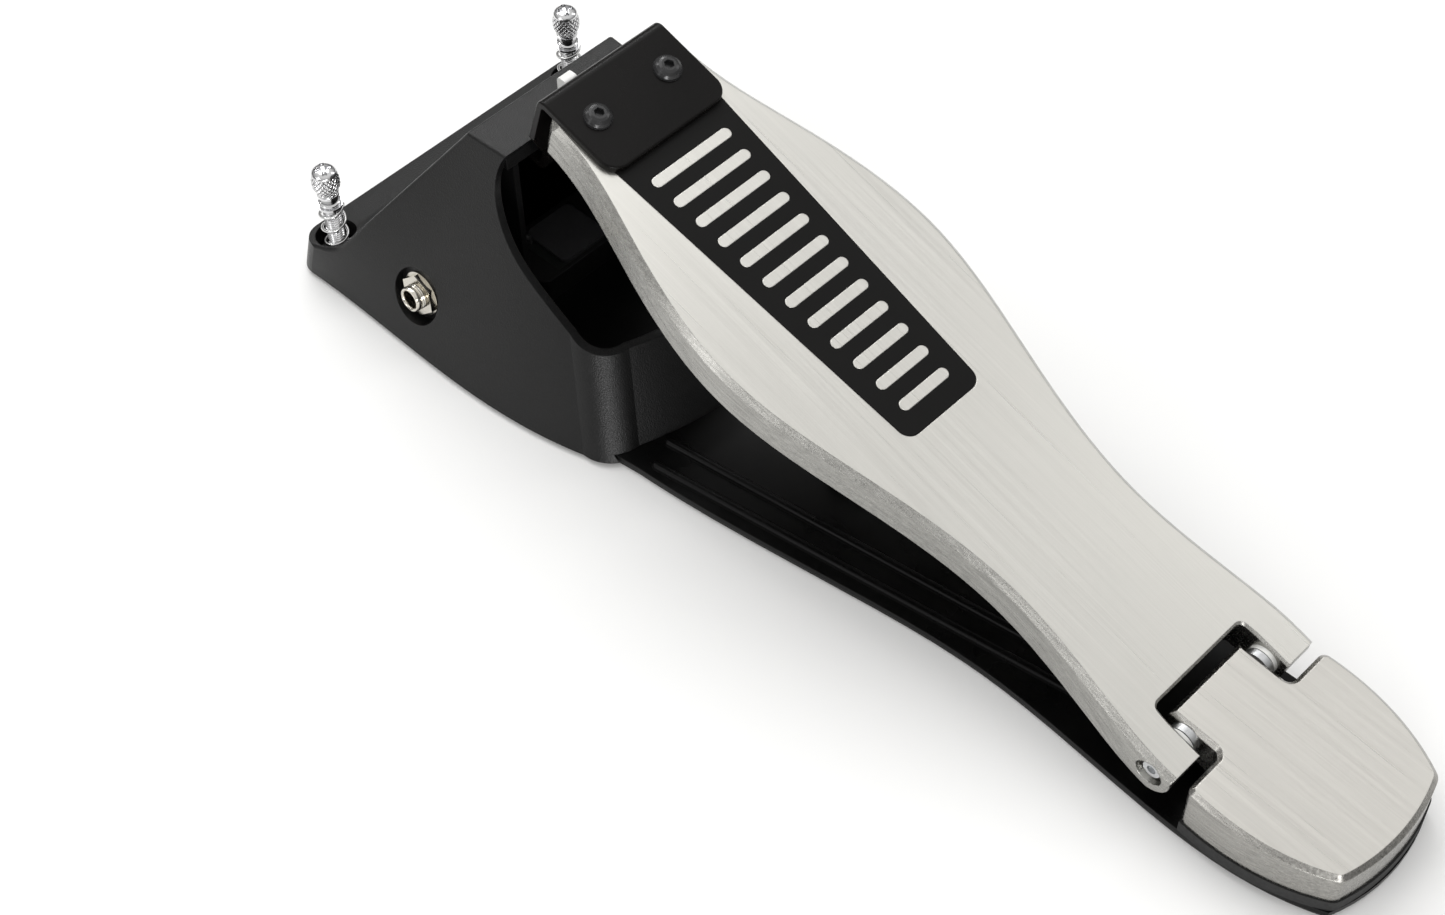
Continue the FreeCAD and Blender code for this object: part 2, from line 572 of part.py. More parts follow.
def build_footboard():
    body = new_body("Footboard", BOARD_FRAME)
    for name, share, start, inset in (("Lower", 0.4, 0.0, size("PartingStep")), ("Upper", 0.6, 0.4, 0.0)):
        outline = new_sketch(body, name + "Outline", lift="Sizes.BoardTop - Sizes.BoardDepth * %.1f" % (1 - start))
        board_outline(outline, inset, size("ToeU"), size("EarRearU"))
        pad(body, outline, "Sizes.BoardDepth * %.1f" % share, name + "Block")
    ears = new_sketch(body, "EarBosses", "YZ_Plane")
    circle(ears, 0, 0, "EarRadius")
    pad(body, ears, "Sizes.EarOuterX * 2 - 0.6", "EarBossPad", both_ways=True)
    heel_end = new_sketch(body, "EarRounding", "YZ_Plane")
    radius, end = size("EarRadius"), size("EarRearU")
    low = -math.sqrt(radius ** 2 - end ** 2)
    heel_end.addGeometry(Part.Arc(Vector(0, -radius, 0), Vector(-radius * math.sin(math.radians(35)),
                                                                -radius * math.cos(math.radians(35)), 0),
                                  Vector(end, low, 0)), False)
    ring_of = [(end, low), (-30, low), (-30, -30), (0, -30), (0, -radius)]
    for start, stop in zip(ring_of, ring_of[1:]):
        heel_end.addGeometry(Part.LineSegment(Vector(start[0], start[1], 0), Vector(stop[0], stop[1], 0)), False)
    pocket(body, heel_end, "Sizes.EarOuterX * 3", "EarRoundingCut", both_ways=True)
    crown = new_sketch(body, "EarCrown", "YZ_Plane")
    top = size("BoardTop")
    polygon(crown, [(-20, top), (20, top), (20, top + 10), (-20, top + 10)])
    pocket(body, crown, "Sizes.EarOuterX * 3", "EarCrownCut", both_ways=True)
    sides = edges_where(body.Tip.Shape, lambda edge, p: abs(p.z - top) < 1e-3 and p.y > 4)
    dress(body, "Chamfer", sides, "Sizes.BoardChamfer", "BoardEdge")
    hollow = new_sketch(body, "BoardHollow", lift="Sizes.BoardTop - Sizes.BoardDepth")
    board_outline(hollow, size("BoardWall"), 246.0, 32.0)
    pocket(body, hollow, "Sizes.BoardDepth - Sizes.BoardSkin", "BoardHollowCut", reverse=True)
    ribs = new_sketch(body, "BoardRibs", lift="Sizes.BoardTop - Sizes.BoardSkin")
    for u, half in ((62.0, 25.0), (98.0, 27.0), (128.0, 36.0), (186.0, 38.0), (216.0, 31.0)):
        polygon(ribs, [(-half, u - 1.3), (half, u - 1.3), (half, u + 1.3), (-half, u + 1.3)])
    pad(body, ribs, "(Sizes.BoardDepth - Sizes.BoardSkin) * 0.72", "RibWebs", reverse=True)
    pilot = new_sketch(body, "SpringPilot", lift="Sizes.BoardTop - Sizes.BoardSkin")
    plain_circle(pilot, 0, SPRING_U, 4.6)
    for sign in SIDES:
        plain_circle(pilot, sign * size("BracketScrewX"), size("BracketScrewU") - 8.0, 3.2)
    pad(body, pilot, "Sizes.BoardDepth * 0.5", "PilotBoss", reverse=True)
    notch = new_sketch(body, "Notch", lift="Sizes.BoardTop - Sizes.BoardDepth * 2")
    inner, wide = size("EarInnerX") - 0.5, size("EarInnerX")
    rounded(notch, [(-wide, -30), (wide, -30), (wide, 6.2), (inner, size("NotchU")), (-inner, size("NotchU")),
                    (-wide, 6.2)], [0, 0, 0, 2.2, 2.2, 0])
    pocket(body, notch, "Sizes.BoardDepth * 4", "NotchCut", reverse=True)
    rims = edges_where(body.Tip.Shape, lambda edge, p: abs(p.z - top) < 1e-3 and -6 < p.y < 14 and abs(p.x) < 22)
    dress(body, "Chamfer", rims, "0.8", "NotchEdge")
    bores = new_sketch(body, "BushBores", "YZ_Plane")
    circle(bores, 0, 0, "BushOuterRadius")
    pocket(body, bores, "Sizes.EarOuterX * 3", "BushBoreCut", both_ways=True)
    for sign in SIDES:
        tag = "Left" if sign < 0 else "Right"
        sink = new_sketch(body, "HeadSink" + tag, "YZ_Plane", lift="%d * (Sizes.ShaftHalfLength - 0.3)" % sign)
        plain_circle(sink, 0, 0, 4.6)
        pocket(body, sink, "Sizes.EarOuterX", "HeadSinkCut" + tag, reverse=sign > 0)
    recess = new_sketch(body, "PanelRecess", lift="Sizes.BoardTop")
    panel_outline(recess, 0.0)
    pocket(body, recess, "Sizes.PanelDepth", "PanelRecessCut")
    bars = new_sketch(body, "RaisedBars", lift="Sizes.BoardTop - Sizes.PanelDepth - 0.2")
    slot_outlines(bars, -0.1)
    pad(body, bars, "Sizes.PanelDepth + 0.2", "BarPads")
    taps = new_sketch(body, "BracketTaps", lift="Sizes.BoardTop")
    for sign in SIDES:
        plain_circle(taps, sign * size("BracketScrewX"), size("BracketScrewU"), 2.1)
    pocket(body, taps, "Sizes.BoardDepth * 2", "BracketTapCut")
    keep(body, "footboard")


def build_grip_panel():
    body = new_body("GripPanel", BOARD_FRAME)
    outline = new_sketch(body, "PanelShape", lift="Sizes.BoardTop - Sizes.PanelDepth")
    panel_outline(outline, 0.15)
    pad(body, outline, "Sizes.PanelDepth", "PanelSheet")
    slots = new_sketch(body, "PanelSlots", lift="Sizes.BoardTop")
    slot_outlines(slots, 0.05)
    pocket(body, slots, "Sizes.PanelDepth * 3", "PanelSlotCut")
    holes = new_sketch(body, "PanelHoles", lift="Sizes.BoardTop")
    for sign in SIDES:
        plain_circle(holes, sign * size("BracketScrewX"), size("BracketScrewU"), 2.6)
    pocket(body, holes, "Sizes.PanelDepth * 3", "PanelHoleCut")
    keep(body, "grip_panel")


# ---------------------------------------------------------------- toe bracket and actuator
SPRING_U = 150.0


def round_edge(edge, largest):
    """True for a full circle that is smaller than largest."""
    return edge.isClosed() and edge.BoundBox.DiagonalLength < 2.9 * largest


def build_toe_bracket():
    """Bent sheet: a top flange on the board, a front plate down into the housing and a lower lip."""
    body = new_body("ToeBracket", BOARD_FRAME)
    sheet_t, top = size("BracketSheet"), size("BoardTop")
    rear, front = size("BracketRearU"), size("BracketFrontU")
    lip, reach = size("LipTopW"), size("LipLength")
    side = new_sketch(body, "BracketSide", "YZ_Plane")
    inner, outer = 1.4, 3.6
    rounded(side, [(rear, top), (front - sheet_t, top), (front - sheet_t, lip - sheet_t),
                   (front - sheet_t + reach, lip - sheet_t), (front - sheet_t + reach, lip), (front, lip),
                   (front, top + sheet_t), (rear, top + sheet_t)],
            [0, inner, outer, 0, 0, inner, outer, 0])
    pad(body, side, "Sizes.BracketHalfWidth * 2", "BracketSheet", both_ways=True)
    corners = edges_where(body.Tip.Shape, lambda edge, p: abs(p.y - rear) < 1e-3 and abs(edge.Length - sheet_t) < 1e-3
                          and abs(abs(p.x) - size("BracketHalfWidth")) < 1e-3)
    dress(body, "Fillet", corners, "Sizes.BracketSheet * 2.6", "RearCorners")
    trim = new_sketch(body, "PlateTaper", "XZ_Plane", lift="-Sizes.BracketFrontU + 20")
    wide, narrow = size("BracketHalfWidth") + 1, size("LipHalfWidth")
    for sign in SIDES:
        polygon(trim, [(sign * wide, -12), (sign * wide, lip - 10), (sign * narrow, lip - 10),
                       (sign * narrow, lip + 6), (sign * (wide - 1), -12)])
    pocket(body, trim, "Sizes.BoardDepth * 8", "PlateTaperCut", both_ways=True)
    holes = new_sketch(body, "BracketHoles", lift="Sizes.BoardTop + Sizes.BracketSheet")
    for sign in SIDES:
        plain_circle(holes, sign * size("BracketScrewX"), size("BracketScrewU"), 2.6)
    pocket(body, holes, "Sizes.BracketSheet * 2", "BracketHoleCut")
    flange_top = top + sheet_t
    rims = edges_where(body.Tip.Shape, lambda edge, p: abs(p.z - flange_top) < 1e-3 and edge.Length > 5
                       and p.y < front - 2 and not round_edge(edge, size("BracketScrewX") - 6))
    dress(body, "Fillet", rims, "Sizes.BracketSheet * 0.28", "FlangeRims")
    stud = new_sketch(body, "ActuatorHole", lift="Sizes.LipTopW")
    plain_circle(stud, 0, ACTUATOR_U, 2.1)
    pocket(body, stud, "Sizes.BracketSheet * 2", "ActuatorHoleCut")
    keep(body, "toe_bracket")


ACTUATOR_U = size("BracketFrontU") + 7.0


def board_place(x, u, w):
    """A frame standing on the board's own axes at (x, u, w)."""
    return BOARD_FRAME.multiply(Placement(Vector(x, u, w), Rotation()))


def build_bracket_screws():
    """Button-head screws with a hex socket."""
    screws = []
    head, seat = size("ButtonHeadRadius"), size("BoardTop") + size("BracketSheet")
    for sign in SIDES:
        tag = "Left" if sign < 0 else "Right"
        rise = 2.7
        dome = [(head, 0.0), (head * 0.97, rise * 0.3), (head * 0.86, rise * 0.62), (head * 0.68, rise * 0.88),
                (head * 0.5, rise)]
        profile = [(0, -9.0), (2.05, -9.0), (2.05, 0)] + dome + [(0, rise)]
        frame = board_place(sign * size("BracketScrewX"), size("BracketScrewU"), seat)
        body = turned("BracketScrew" + tag, profile, frame)
        socket = new_sketch(body, "Socket" + tag, lift="%s" % rise)
        polygon(socket, [(1.75 * math.cos(math.radians(60 * k)), 1.75 * math.sin(math.radians(60 * k)))
                         for k in range(6)])
        pocket(body, socket, "1.7", "SocketCut" + tag)
        screws.append(body)
    keep(group("BracketScrews", screws), "bracket_screws")


def build_actuator():
    """Rubber cone under the lip that presses the sensor, and the screw that holds it."""
    under = size("LipTopW") - size("BracketSheet")
    profile = [(0, 0), (9.0, 0), (9.0, -2.2), (7.6, -3.2), (5.2, -8.6), (3.6, -10.6), (1.6, -11.4), (0, -11.4)]
    body = turned("Actuator", profile, board_place(0, ACTUATOR_U, under))
    stem = new_sketch(body, "ActuatorStem")
    plain_circle(stem, 0, 0, 1.9)
    pocket(body, stem, "4.6", "ActuatorStemCut")
    keep(body, "actuator_rubber")
    top = size("LipTopW")
    screw = [(0, -6.8), (1.85, -6.8), (1.85, 0), (3.6, 0), (3.6, 0.8), (2.2, 1.5), (0, 1.5)]
    keep(turned("ActuatorScrew", screw, board_place(0, ACTUATOR_U, top)), "actuator_screw")


# ---------------------------------------------------------------- housing
HOUSING_BOTTOM = 1.5


def housing_plan(sketch, level, inset):
    """Plan of the housing's outer walls at one level, moved in by the wall thickness."""
    rise = (level - size("BaseTop")) / (size("RidgeZ") - size("BaseTop"))
    front_y = size("HalfDepth") - max(0.0, size("FrontDraft") * rise) - inset
    low = {"front": 64.6, "flare": 63.0, "middle": 62.7, "rear": 54.2}
    high = {"front": 60.0, "flare": 34.0, "middle": 31.3, "rear": 26.5}
    half = {key: low[key] + (high[key] - low[key]) * rise - inset * 1.06 for key in low}
    rear_low, rear_high = 58.2, 94.5
    rear_y = rear_low + (rear_high - rear_low) * rise + inset
    bow = (7.5 - 5.5 * rise) if inset == 0 else (7.0 - 5.2 * rise)
    middle_y = (front_y + rear_y) / 2
    corner = 7.5 - inset
    rear_corner = 13.0 - inset
    flare_y = front_y - corner - 20.0
    for sign in SIDES:
        side = Part.BSplineCurve()
        side.interpolate([Vector(sign * half["front"], front_y - corner, 0), Vector(sign * half["flare"], flare_y, 0),
                          Vector(sign * half["middle"], middle_y, 0),
                          Vector(sign * half["rear"], rear_y + rear_corner, 0)])
        sketch.addGeometry(side, False)
        for x, y, radius, way in ((half["front"], front_y, corner, -1), (half["rear"], rear_y, rear_corner, 1)):
            bend = radius * (1 - math.sqrt(0.5))
            sketch.addGeometry(Part.Arc(Vector(sign * x, y + way * radius, 0),
                                        Vector(sign * (x - bend), y + way * bend, 0),
                                        Vector(sign * (x - radius), y, 0)), False)
    flat = half["rear"] - rear_corner
    sketch.addGeometry(Part.Arc(Vector(-flat, rear_y, 0), Vector(0, rear_y - bow, 0), Vector(flat, rear_y, 0)), False)
    flat = half["front"] - corner
    sketch.addGeometry(Part.LineSegment(Vector(-flat, front_y, 0), Vector(flat, front_y, 0)), False)


def front_slope(inset):
    """Side view of what is cut away in front of the slope, above the low shelf."""
    shelf_y, shelf_z = size("ShelfRearY"), size("ShelfZ") - inset
    ridge_y, ridge_z = size("RidgeY"), size("RidgeZ")
    run, climb = ridge_y - size("ShelfRearY"), ridge_z - size("ShelfZ")
    normal = Vector(climb, -run, 0).normalize()
    shift = -inset / normal.x
    top, toe = 120.0, 230.0
    fall = (toe - shelf_y) * math.tan(math.radians(size("ShelfSlope")))
    slope_y = lambda z: shelf_y + shift + run * (z - size("ShelfZ")) / climb
    heel_z = shelf_z + 1.2
    return [(toe, heel_z - fall), (slope_y(heel_z), heel_z), (slope_y(top), top), (toe, top)]


def rear_opening(sketch):
    """Side view of what is cut away behind the plateau: a deep scoop, then the low rear walls."""
    rear, rim = size("PlateauRearY"), size("RecessRimZ")
    points = [(rear, 81.5), (rear + 2.2, 74.5), (rear + 1.0, 67.8), (rear - 2.9, 61.2), (rear - 8.3, 55.4),
              (rear - 15.9, 49.8), (rear - 26.4, 43.7), (rear - 33.9, 39.2), (rear - 41.0, rim + 2.3),
              (rear - 48.0, rim + 0.3), (rear - 80.0, rim - 0.4)]
    scoop = Part.BSplineCurve()
    scoop.interpolate([Vector(y, z, 0) for y, z in points])
    sketch.addGeometry(scoop, False)
    first, last = points[0], points[-1]
    top = 120.0
    for start, end in ((first, (first[0], top)), ((first[0], top), (last[0], top)), ((last[0], top), last)):
        sketch.addGeometry(Part.LineSegment(Vector(start[0], start[1], 0), Vector(end[0], end[1], 0)), False)


def housing_block(name, inset, bottom):
    """Solid wedge; with an inset it is the hollow's tool."""
    body = new_body(name)
    levels = (bottom, size("RidgeZ") - inset)
    profiles = []
    for index, level in enumerate(levels):
        plan = new_sketch(body, "%sPlan%d" % (name, index), lift=str(level))
        housing_plan(plan, level, inset)
        profiles.append(plan)
    loft = body.newObject("PartDesign::AdditiveLoft", name + "Loft")
    loft.Profile = profiles[0]
    loft.Sections = [profiles[1]]
    loft.Ruled = True
    doc.recompute()
    slope = new_sketch(body, name + "Slope", "YZ_Plane")
    rounded(slope, front_slope(inset), [0, 14.0, 0, 0])
    pocket(body, slope, "Sizes.HalfDepth", name + "SlopeCut", both_ways=True)
    return body


def build_housing():
    outer = housing_block("HousingOuter", 0.0, HOUSING_BOTTOM)
    opening = new_sketch(outer, "RearOpening", "YZ_Plane")
    rear_opening(opening)
    pocket(outer, opening, "Sizes.HalfDepth", "RearOpeningCut", both_ways=True)
    shelf_z = size("ShelfZ")
    rims = edges_where(outer.Tip.Shape, lambda edge, p: (p.z > shelf_z - 0.6 and p.y > size("PlateauRearY") + 1
                                                     and edge.Length > 1.0 and not inside_blend(p)))
    dress(outer, "Fillet", rims, "1.2", "HousingRims")
    inner = housing_block("HousingInner", size("HousingWall"), 0.5)
    shell = cut("HousingShell", outer, inner)

    skirt_y = size("PlateauRearY") + 1.2
    skirts = [box("RearSkirt", Placement(Vector(-29.5, skirt_y, 74), Rotation()), "59", "2.2", "Sizes.RidgeZ - 75")]
    bosses = []
    for x, y in ANCHORS:
        bosses.append(cylinder("AnchorBoss", Placement(Vector(x, y, size("BaseTop")), Rotation()), "9.0",
                               "Sizes.ShelfZ - Sizes.BaseTop"))
    for x, y in HOUSING_SCREWS:
        bosses.append(cylinder("ScrewBoss", Placement(Vector(x, y, size("BaseTop")), Rotation()), "3.6",
                               "16" if y < 100 else "45"))
    jack_wall = cylinder("JackWall", JACK_FRAME.multiply(Placement(Vector(0, 0, -4.7), Rotation())), "11.4", "9")
    inside = doc.addObject("Part::MultiCommon", "BossesInside")
    inside.Shapes = [fuse("Bosses", bosses + [jack_wall]), outer]
    body = fuse("HousingBody", [shell, inside] + skirts)

    tools = []
    for x, y in ANCHORS:
        tools.append(cylinder("AnchorPocket", Placement(Vector(x, y, size("AnchorPocketFloor")), Rotation()),
                              "Sizes.AnchorPocketRadius", "30"))
        tools.append(cylinder("AnchorHole", Placement(Vector(x, y, 0), Rotation()), "4.0", "20"))
    for x, y in HOUSING_SCREWS:
        tools.append(cylinder("BossHole", Placement(Vector(x, y, 0), Rotation()), "1.6", "16"))
    tools.append(cylinder("JackRecess", JACK_FRAME.multiply(Placement(Vector(0, 0, -1.9), Rotation())), "10", "20"))
    tools.append(cylinder("JackHole", JACK_FRAME.multiply(Placement(Vector(0, 0, -20), Rotation())),
                          "Sizes.JackSleeveRadius + 0.15", "40"))
    plate = new_body("PlateRoom")
    room = new_sketch(plate, "PlateRoomOutline")
    base_outline(room, inset=-0.25)
    pad(plate, room, "Sizes.BaseTop", "PlateRoomPad")
    tools.append(plate)
    keep(cut("Housing", body, fuse("HousingTools", tools)), "housing")


def inside_blend(point):
    """The concave blend between shelf and slope keeps its own radius."""
    return abs(point.x) < 40 and 160 < point.y < 200 and point.z < 40


def build_guide_block():
    """Nylon block on the plateau that the bracket's front plate slides past."""
    body = new_body("GuideBlock")
    side = new_sketch(body, "GuideSide", "YZ_Plane")
    low = size("RidgeZ")
    rounded(side, [(125.4, low), (129.9, low), (129.9, low + 11.8), (125.4, low + 11.8)], [0, 0, 1.4, 1.4])
    pad(body, side, "5", "GuidePad", both_ways=True)
    keep(body, "guide_block")


# ---------------------------------------------------------------- anchors
def helix_spring(name, frame, radius, wire, height, turns):
    """Open coil spring; Part.makeHelix gives its centre line."""
    path = Part.makeHelix(height / turns, height - 2 * wire, radius)
    path.translate(Vector(0, 0, wire))
    start = path.Edges[0].valueAt(path.Edges[0].FirstParameter)
    heading = path.Edges[0].tangentAt(path.Edges[0].FirstParameter)
    quarters = [Part.makeCircle(wire, start, heading, angle, angle + 90) for angle in (0, 90, 180, 270)]
    coil = Part.Wire(path.Edges).makePipeShell([Part.Wire(quarters)], True, True)
    step = doc.addObject("Part::Feature", name)
    step.Shape = coil
    step.Placement = frame
    return step


SPRING_TURN = Rotation(Vector(0, 0, 1), -114)


def build_anchors():
    thread, head, top = size("AnchorThreadRadius"), size("AnchorHeadRadius"), size("AnchorTop")
    spring_top = size("AnchorSpringTop")
    inserts = []
    for (x, y), tag in zip(ANCHORS, ("left", "right")):
        frame = Placement(Vector(x, y, 0), Rotation())
        washer_top = spring_top + 0.9
        profile = [(0, 2.2), (0.5, 2.2), (thread, 6.6), (thread, washer_top), (3.9, washer_top),
                   (3.9, washer_top + 1.4), (3.2, washer_top + 1.8), (3.2, top - 11.4), (head * 0.74, top - 10.7),
                   (head * 0.89, top - 8.8), (head * 0.99, top - 6.6), (head, top - 4.8), (head * 0.9, top - 2.2),
                   (head * 0.8, top - 1.2), (head * 0.62, top - 0.5), (head * 0.3, top), (0, top)]
        body = turned("AnchorBolt" + tag.title(), profile, frame)
        cross = new_sketch(body, "Cross" + tag, lift="Sizes.AnchorTop")
        arm, web = 2.6, 0.6
        polygon(cross, [(arm, -web), (arm, web), (web, web), (web, arm), (-web, arm), (-web, web), (-arm, web),
                        (-arm, -web), (-web, -web), (-web, -arm), (web, -arm), (web, -web)])
        pocket(body, cross, "2.2", "CrossCut" + tag)
        keep(body, "anchor_bolt_" + tag)
        ring_frame = Placement(Vector(x, y, spring_top), Rotation())
        keep(ring("AnchorWasher" + tag, ring_frame, "4.5", "Sizes.AnchorThreadRadius", "0.9"), "anchor_washer_" + tag)
        floor = size("AnchorPocketFloor") + 1.6
        coil = helix_spring("AnchorSpring" + tag, Placement(Vector(x, y, floor + 0.1), SPRING_TURN),
                            4.1, 0.55, spring_top - floor - 0.2, 3.4)
        keep(coil, "anchor_spring_" + tag)
        insert = [(thread + 0.06, 2.4), (3.9, 2.4), (3.9, floor - 1.6), (6.6, floor - 1.6), (6.6, floor),
                  (thread + 0.06, floor)]
        inserts.append(turned("AnchorInsert" + tag, insert, frame))
    keep(group("AnchorInserts", inserts), "anchor_inserts")


# ---------------------------------------------------------------- jack
def jack_place(height):
    return JACK_FRAME.multiply(Placement(Vector(0, 0, height), Rotation()))


def build_jack():
    floor = -1.9
    bore, sleeve = size("JackBoreRadius"), size("JackSleeveRadius")
    behind = -4.9
    profile = [(bore, behind), (sleeve, behind), (sleeve, 3.7), (sleeve - 0.4, 4.4), (bore + 0.5, 4.4), (bore, 3.9)]
    keep(turned("JackSleeve", profile, jack_place(0)), "jack_sleeve")
    keep(ring("JackWasher", jack_place(floor), "7.9", "Sizes.JackSleeveRadius", "0.8"), "jack_washer")
    nut = new_body("JackNut", jack_place(floor + 0.8))
    hexagon = new_sketch(nut, "NutHexagon")
    reach = 7.7
    polygon(hexagon, [(reach * math.cos(math.radians(60 * k + 12)), reach * math.sin(math.radians(60 * k + 12)))
                      for k in range(6)])
    pad(nut, hexagon, "1.8", "NutPad")
    hole = new_sketch(nut, "NutHole")
    circle(hole, 0, 0, "JackSleeveRadius")
    pocket(nut, hole, "6", "NutHoleCut", reverse=True)
    keep(nut, "jack_nut")
    body = new_body("JackBody", jack_place(behind))
    shape = new_sketch(body, "JackBodyOutline")
    rounded(shape, [(-5.4, -7.5), (5.4, -7.5), (5.4, 7.5), (-5.4, 7.5)], [1.2] * 4)
    pad(body, shape, "20", "JackBodyPad", reverse=True)
    tube = new_sketch(body, "JackBodyBore")
    plain_circle(tube, 0, 0, 3.5)
    pocket(body, tube, "17", "JackBodyBoreCut")
    keep(body, "jack_body")
    contacts = []
    for index, (across, depth, length) in enumerate(((-7.7, -13.5, 8.0), (7.5, -19.5, 9.0))):
        tab = box("JackContact%d" % index,
                  JACK_FRAME.multiply(Placement(Vector(-2.0, across, depth), Rotation())), "4", "0.2", str(length))
        contacts.append(tab)
    keep(group("JackContacts", contacts), "jack_contacts")


# ---------------------------------------------------------------- frame, sensor and spring
def build_front_frame():
    """Steel arch on the base that carries the upper stop."""
    body = new_body("FrontFrame")
    arch = new_sketch(body, "ArchFront", "XZ_Plane", lift="-Sizes.FrameY")
    leg, top, foot, strap = 24.0, 76.6, 33.0, 2.2
    base = size("BaseTop")
    rounded(arch, [(-foot, base), (-leg + strap, base), (-leg + strap, top - strap), (leg - strap, top - strap),
                   (leg - strap, base), (foot, base), (foot, base + strap), (leg, base + strap), (leg, top),
                   (-leg, top), (-leg, base + strap), (-foot, base + strap)],
            [0, 0, 1.5, 1.5, 0, 0, 0, 1.5, 3.5, 3.5, 1.5, 0])
    pad(body, arch, "Sizes.FrameDepth", "ArchPad", both_ways=True)
    holes = new_sketch(body, "FootHoles", lift="Sizes.BaseTop")
    for x, y in FRAME_SCREWS:
        plain_circle(holes, x, y, SCREW_HOLE - 0.15)
    pocket(body, holes, "Sizes.BaseThickness * 2", "FootHoleCut", reverse=True)
    keep(body, "front_frame")
    pad_frame = Placement(Vector(-13, size("FrameY") - 4.5, 72.4), Rotation())
    keep(box("UpStopPad", pad_frame, "26", "9", "2"), "up_stop_felt")


def build_sensor():
    base, y = size("BaseTop"), size("SensorY")
    body = new_body("SensorHolder")
    outline = new_sketch(body, "HolderOutline", lift="Sizes.BaseTop")
    rounded(outline, [(-20, y - 14), (20, y - 14), (20, y + 11), (-20, y + 11)], [3] * 4)
    pad(body, outline, "Sizes.SensorHolderHeight", "HolderPad")
    tray = new_sketch(body, "HolderTray", lift="Sizes.BaseTop + Sizes.SensorHolderHeight")
    rounded(tray, [(-12.2, y - 12.2), (12.2, y - 12.2), (12.2, y + 9.2), (-12.2, y + 9.2)], [0.4] * 4)
    pocket(body, tray, "2", "HolderTrayCut")
    taps = new_sketch(body, "HolderTaps", lift="Sizes.BaseTop")
    for x, tap_y in SENSOR_SCREWS:
        plain_circle(taps, x, tap_y, SCREW_HOLE - 0.15)
    pocket(body, taps, "5", "HolderTapCut", reverse=True)
    keep(body, "sensor_holder")
    floor = base + size("SensorHolderHeight") - 2
    board = box("SensorBoard", Placement(Vector(-12, y - 12, floor), Rotation()), "24", "21", "1.6")
    keep(board, "sensor_board")
    cover = new_body("SensorMembrane")
    film = new_sketch(cover, "MembraneOutline", lift=str(floor + 1.6))
    rounded(film, [(-8.5, y - 11.5), (11.5, y - 11.5), (11.5, y + 8.5), (-8.5, y + 8.5)], [2.5] * 4)
    pad(cover, film, "1.2", "MembraneSheet")
    keep(cover, "sensor_membrane")


def build_sensor_cable():
    """Two-core lead from the sensor to the jack: straight runs joined by arcs."""
    start_z = size("BaseTop") + size("SensorHolderHeight") - 0.4
    y, z = 143.6, start_z + 3.4
    route = [Vector(-10.0, y, start_z), Vector(-10.0, y, z), Vector(-27.5, y, z), Vector(-29.5, 137.4, z),
             Vector(-45.1, 137.4, z + 0.2), Vector(-45.7, 138.5, 19.0)]
    path = []
    here = route[0]
    for before, corner, after in zip(route, route[1:], route[2:]):
        back, ahead = (before - corner), (after - corner)
        reach = 0.45 * min(back.Length, ahead.Length)
        start = corner + back.normalize() * reach
        end = corner + ahead.normalize() * reach
        half = back.getAngle(ahead) / 2
        radius = reach * math.tan(half)
        bisector = (back + ahead).normalize()
        middle = corner + bisector * (radius / math.sin(half) - radius)
        path.append(Part.LineSegment(here, start).toShape())
        path.append(Part.Arc(start, middle, end).toShape())
        here = end
    path.append(Part.LineSegment(here, route[-1]).toShape())
    spine = Part.Wire(path)
    section = Part.Wire([Part.makeCircle(1.0, route[0], route[1] - route[0])])
    step = doc.addObject("Part::Feature", "SensorCable")
    step.Shape = spine.makePipeShell([section], True, False)
    keep(step, "sensor_cable")


def build_return_spring():
    base, y = size("BaseTop"), size("SpringY")
    seat = [(0, 0), (8.9, 0), (8.9, 4.0), (8.4, 5.0), (7.6, 5.0), (7.6, 2.0), (0, 2.0)]
    keep(turned("SpringSeat", seat, Placement(Vector(0, y, base), Rotation())), "spring_seat")
    wire, radius = size("SpringWire"), size("SpringRadius")
    bottom = base + 2.05
    top = 65.6
    keep(helix_spring("ReturnSpring", Placement(Vector(0, y, bottom), Rotation()), radius, wire, top - bottom, 8),
         "return_spring")


# ---------------------------------------------------------------- build, check and write
def build_all():
    build_base_plate()
    build_rubber_sole()
    build_underside_screws()
    build_heel_plate()
    build_heel_spacer()
    build_hinge()
    build_footboard()
    build_grip_panel()
    build_toe_bracket()
    build_bracket_screws()
    build_actuator()
    build_housing()
    build_guide_block()
    build_anchors()
    build_jack()
    build_front_frame()
    build_sensor()
    build_sensor_cable()
    build_return_spring()
    doc.recompute()


def check_all():
    """Stop if any object failed, or any sub-part has no valid solid."""
    for item in doc.Objects:
        if "Invalid" in item.State or "Error" in item.State:
            raise RuntimeError("%s (%s) failed: %s" % (item.Name, item.Label, item.State))
    for node, item in exported.items():
        if item.Shape.isNull() or not item.Shape.isValid() or not item.Shape.Solids:
            raise RuntimeError("%s has no valid solid" % node)


build_all()
check_all()
for node, item in exported.items():
    item.Shape.exportStep("parts/%s.step" % node)
print(len(exported), "sub-parts written")
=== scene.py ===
"""Looks of the hi-hat control pedal: materials, fine detail, light and camera, in metres.

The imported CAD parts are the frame. The detail pieces take their places from the frame's own boxes and
mounts. The arrow's place on the plateau, the lights and the camera are set here.
"""
import json
import math

import bmesh
import bpy
from mathutils import Matrix, Vector


